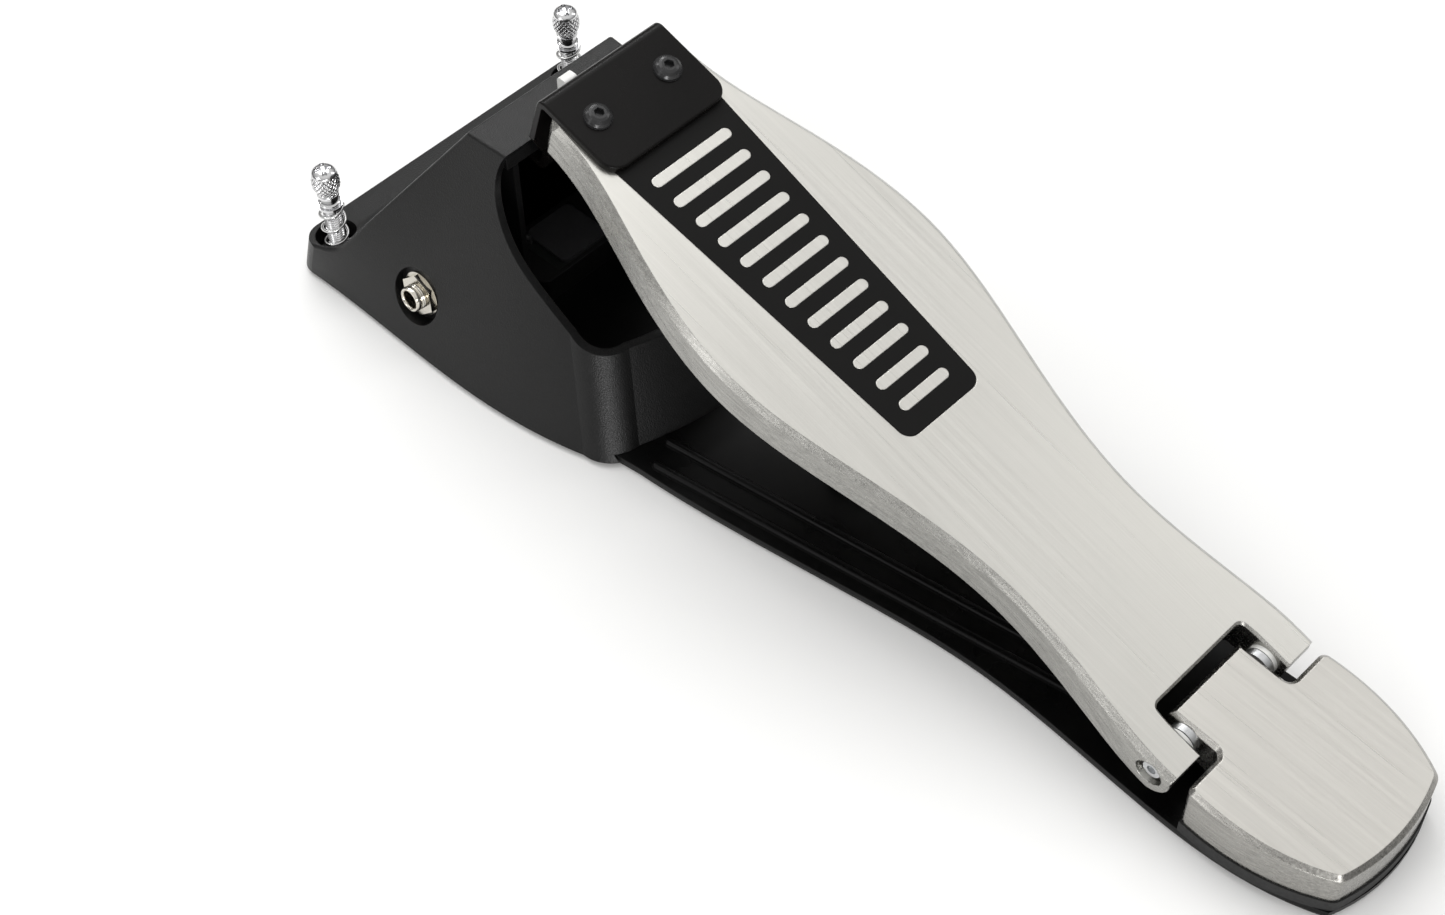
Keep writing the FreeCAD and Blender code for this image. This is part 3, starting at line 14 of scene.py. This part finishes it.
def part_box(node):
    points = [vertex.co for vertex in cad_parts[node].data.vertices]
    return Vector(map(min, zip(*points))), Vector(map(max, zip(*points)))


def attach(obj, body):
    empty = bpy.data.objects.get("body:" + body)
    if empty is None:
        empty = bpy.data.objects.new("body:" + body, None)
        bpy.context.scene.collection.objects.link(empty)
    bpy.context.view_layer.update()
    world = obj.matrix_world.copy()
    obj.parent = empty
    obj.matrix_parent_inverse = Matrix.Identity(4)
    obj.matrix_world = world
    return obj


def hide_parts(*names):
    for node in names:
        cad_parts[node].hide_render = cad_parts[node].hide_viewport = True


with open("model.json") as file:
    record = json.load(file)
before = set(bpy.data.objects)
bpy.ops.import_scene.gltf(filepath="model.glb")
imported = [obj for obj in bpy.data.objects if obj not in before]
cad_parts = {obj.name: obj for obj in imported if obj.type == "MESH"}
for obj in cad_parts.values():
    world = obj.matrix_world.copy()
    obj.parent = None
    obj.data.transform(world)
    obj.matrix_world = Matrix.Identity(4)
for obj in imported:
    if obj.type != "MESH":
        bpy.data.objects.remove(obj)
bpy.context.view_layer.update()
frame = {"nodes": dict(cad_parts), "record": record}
NODES = frame["nodes"]
MM = 0.001
MOUNTS = {mount["name"]: mount for mount in frame["record"]["mounts"]}
NODE_SLOT = {part["node"]: part["material_slot"] for part in frame["record"]["subparts"]}

# Slopes of the two brushed faces, and the directions that they look in
BOARD_TILT = math.radians(17.5)
HEEL_TILT = math.radians(5.6)
BOARD_UP = (0, -math.sin(BOARD_TILT), math.cos(BOARD_TILT))
HEEL_UP = (0, -math.sin(HEEL_TILT), math.cos(HEEL_TILT))
ALONG_BOARD = (-BOARD_TILT, 0, 0)

# A noise texture keeps between these two values almost everywhere
NOISE_LOW, NOISE_HIGH = 0.3, 0.7


# ---------------------------------------------------------------- node helpers
class Graph:
    """A material's nodes, with short calls for the ones used here."""

    def __init__(self, name, base, metallic=0.0, roughness=0.5):
        self.material = bpy.data.materials.new(name)
        self.material.use_nodes = True
        self.tree = self.material.node_tree
        self.shader = self.tree.nodes["Principled BSDF"]
        self.shader.inputs["Base Color"].default_value = (*base, 1)
        self.shader.inputs["Metallic"].default_value = metallic
        self.shader.inputs["Roughness"].default_value = roughness
        self.material.diffuse_color = (*base, 1)
        self._coordinates = None
        self._edge = None

    def set(self, socket, value):
        self.shader.inputs[socket].default_value = value
        return self

    def node(self, kind, **settings):
        made = self.tree.nodes.new(kind)
        for key, value in settings.items():
            setattr(made, key, value)
        return made

    def link(self, source, target):
        self.tree.links.new(source, target)

    def coordinates(self, scale=(1, 1, 1), turn=(0, 0, 0)):
        """Object coordinates, turned and then stretched."""
        if self._coordinates is None:
            self._coordinates = self.node("ShaderNodeTexCoord").outputs["Object"]
        turned = self.node("ShaderNodeMapping", vector_type="POINT")
        turned.inputs["Rotation"].default_value = turn
        self.link(self._coordinates, turned.inputs["Vector"])
        stretched = self.node("ShaderNodeMapping", vector_type="POINT")
        stretched.inputs["Scale"].default_value = scale
        self.link(turned.outputs["Vector"], stretched.inputs["Vector"])
        return stretched.outputs["Vector"]

    def noise(self, vector, scale, detail=2.0, roughness=0.5):
        made = self.node("ShaderNodeTexNoise")
        made.inputs["Scale"].default_value = scale
        made.inputs["Detail"].default_value = detail
        made.inputs["Roughness"].default_value = roughness
        self.link(vector, made.inputs["Vector"])
        return made.outputs["Fac"]

    def cells(self, vector, scale, feature="F1"):
        made = self.node("ShaderNodeTexVoronoi", feature=feature)
        made.inputs["Scale"].default_value = scale
        self.link(vector, made.inputs["Vector"])
        return made.outputs["Distance"]

    def spread(self, value, low, high, start=0.0, end=1.0):
        """Maps start..end to low..high."""
        made = self.node("ShaderNodeMapRange")
        made.inputs["From Min"].default_value = start
        made.inputs["From Max"].default_value = end
        made.inputs["To Min"].default_value = low
        made.inputs["To Max"].default_value = high
        self.link(value, made.inputs["Value"])
        return made.outputs["Result"]

    def from_noise(self, value, low, high):
        """Maps the usual range of a noise texture to low..high."""
        return self.spread(value, low, high, NOISE_LOW, NOISE_HIGH)

    def mottle(self, value, first, second):
        """Colour that a noise texture carries from first to second."""
        return self.mix(self.from_noise(value, 0.0, 1.0), first, second)

    def maths(self, operation, first, second):
        made = self.node("ShaderNodeMath", operation=operation)
        for socket, value in zip(made.inputs, (first, second)):
            if isinstance(value, (int, float)):
                socket.default_value = value
            else:
                self.link(value, socket)
        return made.outputs["Value"]

    def mix(self, factor, first, second):
        """Colour mix; first and second are colours or sockets."""
        made = self.node("ShaderNodeMix", data_type="RGBA")
        self.link(factor, made.inputs["Factor"])
        for socket, value in ((made.inputs[6], first), (made.inputs[7], second)):
            if isinstance(value, tuple):
                socket.default_value = (*value, 1)
            else:
                self.link(value, socket)
        return made.outputs[2]

    def blend(self, factor, first, second):
        """Number mix; first and second are numbers or sockets."""
        made = self.node("ShaderNodeMix", data_type="FLOAT")
        self.link(factor, made.inputs["Factor"])
        for socket, value in ((made.inputs[2], first), (made.inputs[3], second)):
            if isinstance(value, (int, float)):
                socket.default_value = value
            else:
                self.link(value, socket)
        return made.outputs[0]

    def facing(self, direction, start, end):
        """1 where the surface faces along direction, falling to 0; start and end are cosines."""
        dot = self.node("ShaderNodeVectorMath", operation="DOT_PRODUCT")
        self.link(self.node("ShaderNodeNewGeometry").outputs["Normal"], dot.inputs[0])
        dot.inputs[1].default_value = direction
        return self.spread(dot.outputs["Value"], 0.0, 1.0, start, end)

    def soften(self, radius):
        """Rounds the look of sharp edges by a small radius."""
        self._edge = self.node("ShaderNodeBevel", samples=4)
        self._edge.inputs["Radius"].default_value = radius
        return self

    def bump(self, height, distance, strength=1.0):
        made = self.node("ShaderNodeBump")
        if self._edge is not None:
            self.link(self._edge.outputs["Normal"], made.inputs["Normal"])
        made.inputs["Strength"].default_value = strength
        made.inputs["Distance"].default_value = distance
        self.link(height, made.inputs["Height"])
        self.link(made.outputs["Normal"], self.shader.inputs["Normal"])

    def drive(self, socket, value):
        self.link(value, self.shader.inputs[socket])
        return self


# ---------------------------------------------------------------- materials
def shade(base, factor):
    """The base colour made darker or lighter by a factor."""
    return tuple(min(1.0, factor * channel) for channel in base)


def brushed_metal(name, base, face, grain_turn=(0, 0, 0)):
    """Cast aluminium, brushed lengthwise on its upper face and left grained on its walls; the walls also
    carry painted shade, darker than the top.
    """
    brush_scale, fine_factor = (900, 9, 60), 4.2
    wall_scale = (1500, 22, 1500)
    g = Graph(name, base, metallic=1.0, roughness=0.3).soften(0.45 * MM)
    streaks = g.noise(g.coordinates(brush_scale, grain_turn), 1.0, 4.0, 0.65)
    fine_scale = tuple(fine_factor * v for v in brush_scale)
    fine = g.noise(g.coordinates(fine_scale, grain_turn), 1.0, 2.0, 0.6)
    cloud = g.noise(g.coordinates(), 14.0, 3.0, 0.5)
    cast = g.noise(g.coordinates(), 900.0, 4.0, 0.6)
    run = g.noise(g.coordinates(wall_scale, grain_turn), 1.0, 3.0, 0.6)
    top = g.facing(face, 0.90, 0.97)
    tone = g.maths("ADD", g.maths("MULTIPLY", streaks, 0.6), g.maths("MULTIPLY", fine, 0.4))
    tone = g.from_noise(tone, 0.0, 1.0)
    brushed = g.mix(tone, shade(base, 0.93), shade(base, 1.04))
    brushed = g.mix(g.spread(cloud, 0.0, 0.35, 0.35, 0.7), brushed, shade(base, 1.05))
    # Painted shade: the walls get 0.44 to 0.70 of the base colour while the top keeps about 1.0, standing
    # in for the darker light on the sides; the mottle along the walls is the cast grain.
    wall_grain_and_shade = g.mottle(run, shade(base, 0.44), shade(base, 0.70))
    g.drive("Base Color", g.mix(top, wall_grain_and_shade, brushed))
    g.drive("Roughness", g.blend(top, g.from_noise(cast, 0.20, 0.34), g.from_noise(streaks, 0.26, 0.42)))
    wall_height = g.maths("ADD", g.maths("MULTIPLY", cast, 0.5), g.maths("MULTIPLY", run, 0.3))
    g.bump(g.blend(top, wall_height, tone), 0.04 * MM, 0.4)
    return g.material


def moulded_black(name, base, grain, roughness, depth):
    """Moulded black plastic with a fine eroded texture; depth is in metres."""
    g = Graph(name, base, roughness=roughness).set("Specular IOR Level", 0.3).soften(0.35 * MM)
    vector = g.coordinates()
    pits = g.cells(vector, grain, "SMOOTH_F1")
    haze = g.noise(vector, 22.0, 3.0, 0.55)
    grit = g.noise(vector, grain * 1.7, 3.0, 0.6)
    g.drive("Base Color", g.mottle(haze, shade(base, 0.8), shade(base, 1.25)))
    g.drive("Roughness", g.from_noise(grit, roughness - 0.08, roughness + 0.1))
    g.bump(g.maths("ADD", pits, g.maths("MULTIPLY", grit, 0.5)), depth, 0.6)
    return g.material


def coated_black(name, base, roughness, peel=420.0):
    """Powder-coated or painted steel with a slight orange peel."""
    g = Graph(name, base, roughness=roughness).set("Specular IOR Level", 0.12).soften(0.4 * MM)
    vector = g.coordinates()
    skin = g.noise(vector, peel, 2.0, 0.5)
    smear = g.noise(vector, 30.0, 3.0, 0.6)
    g.drive("Roughness", g.from_noise(smear, roughness - 0.06, roughness + 0.08))
    g.drive("Base Color", g.mottle(smear, shade(base, 0.85), shade(base, 1.2)))
    g.bump(skin, 0.03 * MM, 0.5)
    return g.material


def machined(name, base, roughness, metallic=1.0, painted_groove_shade=False):
    """Plated or turned metal with faint handling marks; its last flag paints shade into the hollows."""
    g = Graph(name, base, metallic=metallic, roughness=roughness)
    vector = g.coordinates()
    marks = g.noise(vector, 600.0, 3.0, 0.6)
    smear = g.noise(vector, 120.0, 2.0, 0.5)
    g.drive("Roughness", g.from_noise(marks, roughness * 0.7, roughness * 1.35))
    tone = g.mottle(smear, shade(base, 0.86), base)
    if painted_groove_shade:
        # Painted shade: where the surface is hollow (low pointiness) the colour falls to 0.12 of the
        # base, standing in for the shade in knurl and thread grooves.
        hollow_shade = g.node("ShaderNodeNewGeometry").outputs["Pointiness"]
        tone = g.mix(g.spread(hollow_shade, 0.0, 1.0, 0.40, 0.50), shade(base, 0.12), tone)
    g.drive("Base Color", tone)
    g.bump(marks, 0.01 * MM, 0.3)
    return g.material


def plain_polymer(name, base, roughness, subsurface=0.0):
    """Nylon, rubber, film or board: slight mottling and a soft grain."""
    g = Graph(name, base, roughness=roughness)
    vector = g.coordinates()
    blotches = g.noise(vector, 90.0, 3.0, 0.6)
    skin = g.noise(vector, 700.0, 2.0, 0.5)
    g.drive("Base Color", g.mottle(blotches, shade(base, 0.88), shade(base, 1.1)))
    g.drive("Roughness", g.from_noise(skin, roughness - 0.06, roughness + 0.06))
    g.bump(skin, 0.03 * MM, 0.4)
    if subsurface:
        g.set("Subsurface Weight", subsurface)
        g.set("Subsurface Radius", (2.0 * MM, 2.0 * MM, 1.8 * MM))
    return g.material


def felt_cloth(name, base):
    """Grey felt with short fibres and lint."""
    g = Graph(name, base, roughness=0.95)
    fibre = g.noise(g.coordinates((500, 900, 500)), 1.0, 6.0, 0.75)
    lint = g.noise(g.coordinates(), 1500.0, 4.0, 0.7)
    g.drive("Base Color", g.mix(g.spread(fibre, 0, 1, 0.35, 0.65), shade(base, 0.6), shade(base, 1.4)))
    g.set("Sheen Weight", 0.4)
    g.bump(g.maths("ADD", fibre, lint), 0.1 * MM, 0.7)
    return g.material


MATERIALS = {
    "brushed_aluminium": brushed_metal("brushed_aluminium", (0.65, 0.64, 0.605), BOARD_UP, ALONG_BOARD),
    "cast_aluminium": brushed_metal("cast_aluminium", (0.62, 0.605, 0.57), HEEL_UP),
    "panel_black": coated_black("panel_black", (0.0045, 0.0043, 0.0041), 0.45, 900.0),
    "bracket_black": coated_black("bracket_black", (0.0035, 0.003, 0.0028), 0.27),
    "black_steel": coated_black("black_steel", (0.002, 0.002, 0.002), 0.3),
    "black_screw": machined("black_screw", (0.03, 0.03, 0.031), 0.24, metallic=0.35),
    "housing_black": moulded_black("housing_black", (0.003, 0.003, 0.0031), 2400.0, 0.36, 0.00013),
    "jack_plastic": moulded_black("jack_plastic", (0.008, 0.008, 0.008), 900.0, 0.5, 0.00003),
    "cable_black": plain_polymer("cable_black", (0.02, 0.02, 0.02), 0.5),
    "rubber_black": plain_polymer("rubber_black", (0.007, 0.007, 0.007), 0.72),
    # The knurl and thread grooves of the chrome bolts get painted shade.
    "chrome_bolt": machined("chrome_bolt", (0.74, 0.74, 0.75), 0.12, painted_groove_shade=True),
    "spring_steel": machined("spring_steel", (0.72, 0.72, 0.72), 0.2),
    # The thread grooves of the nickel jack sleeve get painted shade.
    "nickel": machined("nickel", (0.72, 0.69, 0.62), 0.16, painted_groove_shade=True),
    "shaft_steel": machined("shaft_steel", (0.62, 0.62, 0.62), 0.28),
    "zinc_screw": machined("zinc_screw", (0.62, 0.63, 0.64), 0.35),
    "frame_steel": coated_black("frame_steel", (0.006, 0.006, 0.0062), 0.5),
    "steel_insert": machined("steel_insert", (0.16, 0.16, 0.165), 0.4),
    "brass_insert": machined("brass_insert", (0.72, 0.56, 0.27), 0.3),
    "white_nylon": plain_polymer("white_nylon", (0.84, 0.84, 0.82), 0.35, subsurface=0.15),
    "washer_nylon": plain_polymer("washer_nylon", (0.72, 0.72, 0.70), 0.42, subsurface=0.1),
    "membrane": plain_polymer("membrane", (0.03, 0.03, 0.032), 0.5),
    "board_green": plain_polymer("board_green", (0.012, 0.014, 0.013), 0.4),
    "felt": felt_cloth("felt", (0.16, 0.16, 0.165)),
}


def paint(obj, slot_name):
    obj.data.materials.clear()
    obj.data.materials.append(MATERIALS[slot_name])


for node_name, node in NODES.items():
    paint(node, NODE_SLOT[node_name])


# ---------------------------------------------------------------- turned detail pieces
def along(axis):
    """Turns +Z to the axis."""
    return Vector((0, 0, 1)).rotation_difference(Vector(axis)).to_matrix().to_4x4()


def ring_piece(name, rings, frame_matrix, looped=False):
    """Closed mesh through rings of (x, y, z) in millimetres. looped joins the last ring to the first."""
    count, total = len(rings[0]), len(rings)
    points = [Vector(p) * MM for ring in rings for p in ring]
    faces = []
    for i in range(total if looped else total - 1):
        low, high = i * count, ((i + 1) % total) * count
        for k in range(count):
            beside = (k + 1) % count
            faces.append((low + k, low + beside, high + beside, high + k))
    if not looped:
        faces.append(tuple(reversed(range(count))))
        faces.append(tuple((total - 1) * count + k for k in range(count)))
    mesh = bpy.data.meshes.new(name)
    mesh.from_pydata([tuple(frame_matrix @ p) for p in points], [], faces)
    built = bmesh.new()
    built.from_mesh(mesh)
    bmesh.ops.recalc_face_normals(built, faces=built.faces)
    built.to_mesh(mesh)
    built.free()
    mesh.polygons.foreach_set("use_smooth", [True] * len(mesh.polygons))
    mesh.set_sharp_from_angle(angle=math.radians(38))
    piece = bpy.data.objects.new(name, mesh)
    bpy.context.scene.collection.objects.link(piece)
    return piece


def turn_ring(radius, height, count):
    """One ring; radius and height may be functions of the angle."""
    ring = []
    for k in range(count):
        angle = 2 * math.pi * k / count
        r = radius(angle) if callable(radius) else radius
        z = height(angle) if callable(height) else height
        ring.append((r * math.cos(angle), r * math.sin(angle), z))
    return ring


def thread_rings(low, high, crest, depth, pitch, count, fade=1.0):
    """A single-start thread that fades out at both ends."""
    rings = []
    steps = int((high - low) / pitch * 7)
    for i in range(steps + 1):
        z = low + (high - low) * i / steps
        strength = min(1.0, (z - low) / fade, (high - z) / fade)

        def radius(angle, z=z, strength=strength):
            phase = (z / pitch - angle / (2 * math.pi)) % 1.0
            tooth = min(1.0, max(0.0, 2.6 * abs(phase - 0.5) - 0.15))
            return crest - depth * strength * (1.0 - tooth)

        rings.append(turn_ring(radius, z, count))
    return rings


def knurl_rings(low, high, outline, depth, diamonds, count, step):
    """A barrel with a diamond knurl; outline gives the radius at a height."""
    rings = []
    steps = int((high - low) / step)
    middle = outline((low + high) / 2)
    climb = diamonds / middle * 0.85
    for i in range(steps + 1):
        z = low + (high - low) * i / steps
        strength = min(1.0, (z - low) / 0.5, (high - z) / 0.5)

        def radius(angle, z=z, strength=strength):
            rising = abs(math.sin((diamonds * angle + climb * z) / 2))
            falling = abs(math.sin((diamonds * angle - climb * z) / 2))
            groove = 1.0 - min(1.0, min(rising, falling) / 0.5)
            return outline(z) - depth * strength * groove

        rings.append(turn_ring(radius, z, count))
    return rings


def smooth_step(value):
    value = min(1.0, max(0.0, value))
    return value * value * (3 - 2 * value)


# Anchor bolt, in millimetres
BOLT_THREAD = {"crest": 3.0, "depth": 0.52, "pitch": 1.0}
BOLT_SEGMENTS = 160
BOLT_COLLAR = ((3.6, 0.02), (3.9, 0.3), (3.9, 1.1), (3.6, 1.4), (3.1, 1.6), (3.1, 3.4), (3.7, 3.7))
KNURL = {"depth": 0.42, "diamonds": 18, "step": 0.15}
CROSS_ARM, CROSS_WEB, CROSS_TURN = 3.0, 0.75, 0.5
CROSS_DEPTH, CROSS_FALL = 0.9, 1.3
DOME_STEPS = 34


def build_anchor_bolt(side):
    """Knurled barrel head with a cross recess, a neck and a threaded shank."""
    node = "anchor_bolt_" + side
    low, high = (Vector(corner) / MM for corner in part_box(node))
    washer = Vector(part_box("anchor_washer_" + side)[1]) / MM
    centre = (low + high) / 2
    head, top, seat = (high.x - low.x) / 2, high.z, washer.z
    crest, count = BOLT_THREAD["crest"], BOLT_SEGMENTS
    point = ((0.5, low.z), (1.7, low.z + 1.9), (crest - 0.6, 5.7))
    rings = [turn_ring(r, z, count) for r, z in point]
    rings += thread_rings(6.0, seat - 0.1, crest, BOLT_THREAD["depth"], BOLT_THREAD["pitch"], count)
    rings += [turn_ring(r, seat + rise, count) for r, rise in BOLT_COLLAR]
    rings += [turn_ring(r, top - drop, count) for r, drop in ((3.7, 11.2), (3.3, 11.0))]
    waist, brow = top - 10.7, top - 2.2

    def barrel(z):
        rise = (z - waist) / (brow - waist)
        return head * (0.74 + 0.26 * smooth_step(rise / 0.44) - 0.10 * smooth_step((rise - 0.6) / 0.4))

    rings += knurl_rings(waist, brow, barrel, KNURL["depth"], KNURL["diamonds"], count, KNURL["step"])
    shoulder = barrel(brow)
    for i in range(1, DOME_STEPS + 1):
        lean = math.pi / 2 * i / DOME_STEPS
        r = max(0.06, shoulder * math.cos(lean) ** 0.82)
        dome = brow + (top - brow) * math.sin(lean) ** 1.25

        def height(angle, r=r, dome=dome):
            x = abs(r * math.cos(angle + CROSS_TURN))
            y = abs(r * math.sin(angle + CROSS_TURN))
            inside = (x < CROSS_WEB and y < CROSS_ARM) or (y < CROSS_WEB and x < CROSS_ARM)
            return dome - (CROSS_DEPTH + CROSS_FALL * (1 - r / CROSS_ARM) if inside else 0.0)

        rings.append(turn_ring(r, height, count))
    place = Matrix.Translation((centre.x * MM, centre.y * MM, 0))
    piece = ring_piece("anchor_bolt_%s_detail" % side, rings, place)
    finish_piece(piece, "chrome_bolt", "anchor_%s_bolt" % side, node)


def finish_piece(piece, slot_name, body, *nodes):
    """Material, slot, body and the CAD nodes that the piece stands for."""
    paint(piece, slot_name)
    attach(piece, body)
    if nodes:
        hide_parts(*nodes)


# Jack sleeve, in millimetres
JACK_AXIS = Vector(MOUNTS["output_jack"]["axis"])
JACK_BORE, JACK_OUTER = 3.25, 4.55
JACK_THREAD = {"depth": 0.28, "pitch": 0.8, "fade": 0.5}
JACK_SEGMENTS = 96


def build_jack_sleeve():
    """Threaded tube with a rounded lip and a lead-in to its bore."""
    outer, count = JACK_OUTER, JACK_SEGMENTS
    half = MOUNTS["output_jack"]["dims"]["length_mm"] / 2
    inner_end, outer_end = -half, half
    rings = [turn_ring(JACK_BORE, inner_end, count), turn_ring(outer - 0.3, inner_end, count)]
    rings += thread_rings(inner_end + 0.1, outer_end - 1.4, outer, JACK_THREAD["depth"],
                          JACK_THREAD["pitch"], count, JACK_THREAD["fade"])
    lip = ((outer, -1.2), (outer, -0.5), (outer - 0.12, -0.15), (outer - 0.4, 0.3), (outer - 0.75, 0.42),
           (JACK_BORE + 0.25, 0.3), (JACK_BORE, -0.05), (JACK_BORE, -1.0))
    rings += [turn_ring(r, outer_end + z, count) for r, z in lip]
    place = Matrix.Translation(Vector(MOUNTS["output_jack"]["pos_m"])) @ along(JACK_AXIS)
    piece = ring_piece("jack_sleeve_detail", rings, place, looped=True)
    finish_piece(piece, "nickel", "base", "jack_sleeve")


# Arrow, in millimetres: outline about its own place, then that place
ARROW_OUTLINE = ((-2.2, 0.0), (0.6, -1.35), (0.6, 1.35))
ARROW_X, ARROW_Y = -22.0, 137.0
ARROW_NARROWING, ARROW_LEAN = 0.86, 0.1
ARROW_SINK, ARROW_RISE = 0.1, 0.22


def build_arrow():
    """Small arrow that points to the jack's side.

    Its crown lies about 0.7 mm below the plateau's surface, so the housing hides it.
    """
    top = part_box("housing")[1][2] - 0.9 * MM
    mesh = bpy.data.meshes.new("socket_arrow")
    built = bmesh.new()
    foot, crown = [], []
    for x, y in ARROW_OUTLINE:
        foot.append(built.verts.new(((x + ARROW_X) * MM, (y + ARROW_Y) * MM, top - ARROW_SINK * MM)))
    for x, y in ARROW_OUTLINE:
        crown_x = x * ARROW_NARROWING + ARROW_X - ARROW_LEAN
        crown_y = y * ARROW_NARROWING + ARROW_Y
        crown.append(built.verts.new((crown_x * MM, crown_y * MM, top + ARROW_RISE * MM)))
    built.faces.new(reversed(foot))
    built.faces.new(crown)
    for k in range(3):
        built.faces.new((foot[k], foot[(k + 1) % 3], crown[(k + 1) % 3], crown[k]))
    bmesh.ops.recalc_face_normals(built, faces=built.faces)
    built.to_mesh(mesh)
    built.free()
    arrow = bpy.data.objects.new("socket_arrow", mesh)
    bpy.context.scene.collection.objects.link(arrow)
    finish_piece(arrow, "housing_black", "base")


for side_name in ("left", "right"):
    build_anchor_bolt(side_name)
build_jack_sleeve()
build_arrow()


# ---------------------------------------------------------------- floor, light and camera
FLOOR_REACH = 6.0
FLOOR_DROP = 0.0004
MIDDLE = (0, 0, 0.03)
# Name, place, target, width, height and power of each panel
LIGHTS = (
    ("overhead", (0.25, 0.75, 1.5), MIDDLE, 1.5, 1.1, 7.5),
    ("left_panel", (-1.6, 0.35, 0.75), MIDDLE, 0.5, 1.5, 3.2),
    ("heel_panel", (-0.75, -1.5, 0.55), (-0.03, 0.05, 0.03), 0.5, 0.3, 3.4),
    ("right_panel", (1.5, -0.5, 1.0), MIDDLE, 0.5, 1.2, 3.0),
    ("toe_strip", (0.3, 1.2, 1.1), MIDDLE, 1.6, 0.10, 6.0),
    ("left_strip", (-1.55, 0.18, 0.80), MIDDLE, 1.6, 0.08, 1.6),
    ("low_corner", (-1.15, -1.05, 0.16), (-0.04, 0.08, 0.03), 0.5, 0.28, 8.0),
)
SKY_COLOUR = (1.0, 0.995, 0.985, 1)
SKY_RANGE = (("From Min", 0.02), ("From Max", 0.8), ("To Min", 0.10), ("To Max", 0.84))


def build_floor():
    """White paper that reaches far past the pedal."""
    mesh = bpy.data.meshes.new("floor")
    reach = FLOOR_REACH
    mesh.from_pydata([(-reach, -reach, 0), (reach, -reach, 0), (reach, reach, 0), (-reach, reach, 0)], [],
                     [(0, 1, 2, 3)])
    floor = bpy.data.objects.new("floor", mesh)
    bpy.context.scene.collection.objects.link(floor)
    g = Graph("floor_paper", (0.96, 0.96, 0.955), roughness=0.8)
    mesh.materials.append(g.material)
    floor.location.z = -FLOOR_DROP


def area_light(name, place, target, width, height, power):
    """A rectangular panel that looks at its target."""
    data = bpy.data.lights.new(name, "AREA")
    data.shape = "RECTANGLE"
    data.size = width
    data.size_y = height
    data.energy = power
    lamp = bpy.data.objects.new(name, data)
    bpy.context.scene.collection.objects.link(lamp)
    lamp.location = place
    lamp.rotation_euler = (Vector(target) - Vector(place)).to_track_quat("-Z", "Y").to_euler()


def build_light():
    """A white sky that darkens towards the horizon, and soft panels."""
    world = bpy.data.worlds.new("studio")
    bpy.context.scene.world = world
    world.use_nodes = True
    tree = world.node_tree
    sky = tree.nodes["Background"]
    sky.inputs["Color"].default_value = SKY_COLOUR
    direction = tree.nodes.new("ShaderNodeTexCoord")
    split = tree.nodes.new("ShaderNodeSeparateXYZ")
    rise = tree.nodes.new("ShaderNodeMapRange")
    for socket, value in SKY_RANGE:
        rise.inputs[socket].default_value = value
    tree.links.new(direction.outputs["Generated"], split.inputs["Vector"])
    tree.links.new(split.outputs["Z"], rise.inputs["Value"])
    tree.links.new(rise.outputs["Result"], sky.inputs["Strength"])
    for panel in LIGHTS:
        area_light(*panel)


# The camera looks from its azimuth and elevation at the target, from this distance
CAMERA_AZIMUTH, CAMERA_ELEVATION, CAMERA_ROLL = (math.radians(v) for v in (-44.29, 51.48, -1.44))
CAMERA_TARGET, CAMERA_DISTANCE = Vector((-0.04605, 0.01484, 0.0400)), 0.71209
CAMERA_LENS, CAMERA_SENSOR, CAMERA_NEAR = 58.69, 36.0, 0.01


def build_camera():
    """The camera stands behind the player's left, looking down at the pedal."""
    level_reach = math.cos(CAMERA_ELEVATION)
    back = Vector((math.sin(CAMERA_AZIMUTH) * level_reach, -math.cos(CAMERA_AZIMUTH) * level_reach,
                   math.sin(CAMERA_ELEVATION)))
    level = (-back).cross(Vector((0, 0, 1))).normalized()
    upright = level.cross(-back)
    right = level * math.cos(CAMERA_ROLL) + upright * math.sin(CAMERA_ROLL)
    up = upright * math.cos(CAMERA_ROLL) - level * math.sin(CAMERA_ROLL)
    data = bpy.data.cameras.new("camera")
    data.sensor_width = CAMERA_SENSOR
    data.lens = CAMERA_LENS
    data.clip_start = CAMERA_NEAR
    camera = bpy.data.objects.new("camera", data)
    bpy.context.scene.collection.objects.link(camera)
    turn = Matrix((right, up, back)).transposed().to_4x4()
    camera.matrix_world = Matrix.Translation(CAMERA_TARGET + back * CAMERA_DISTANCE) @ turn
    bpy.context.scene.camera = camera


build_floor()
build_light()
build_camera()
bpy.context.scene.view_settings.view_transform = "Standard"
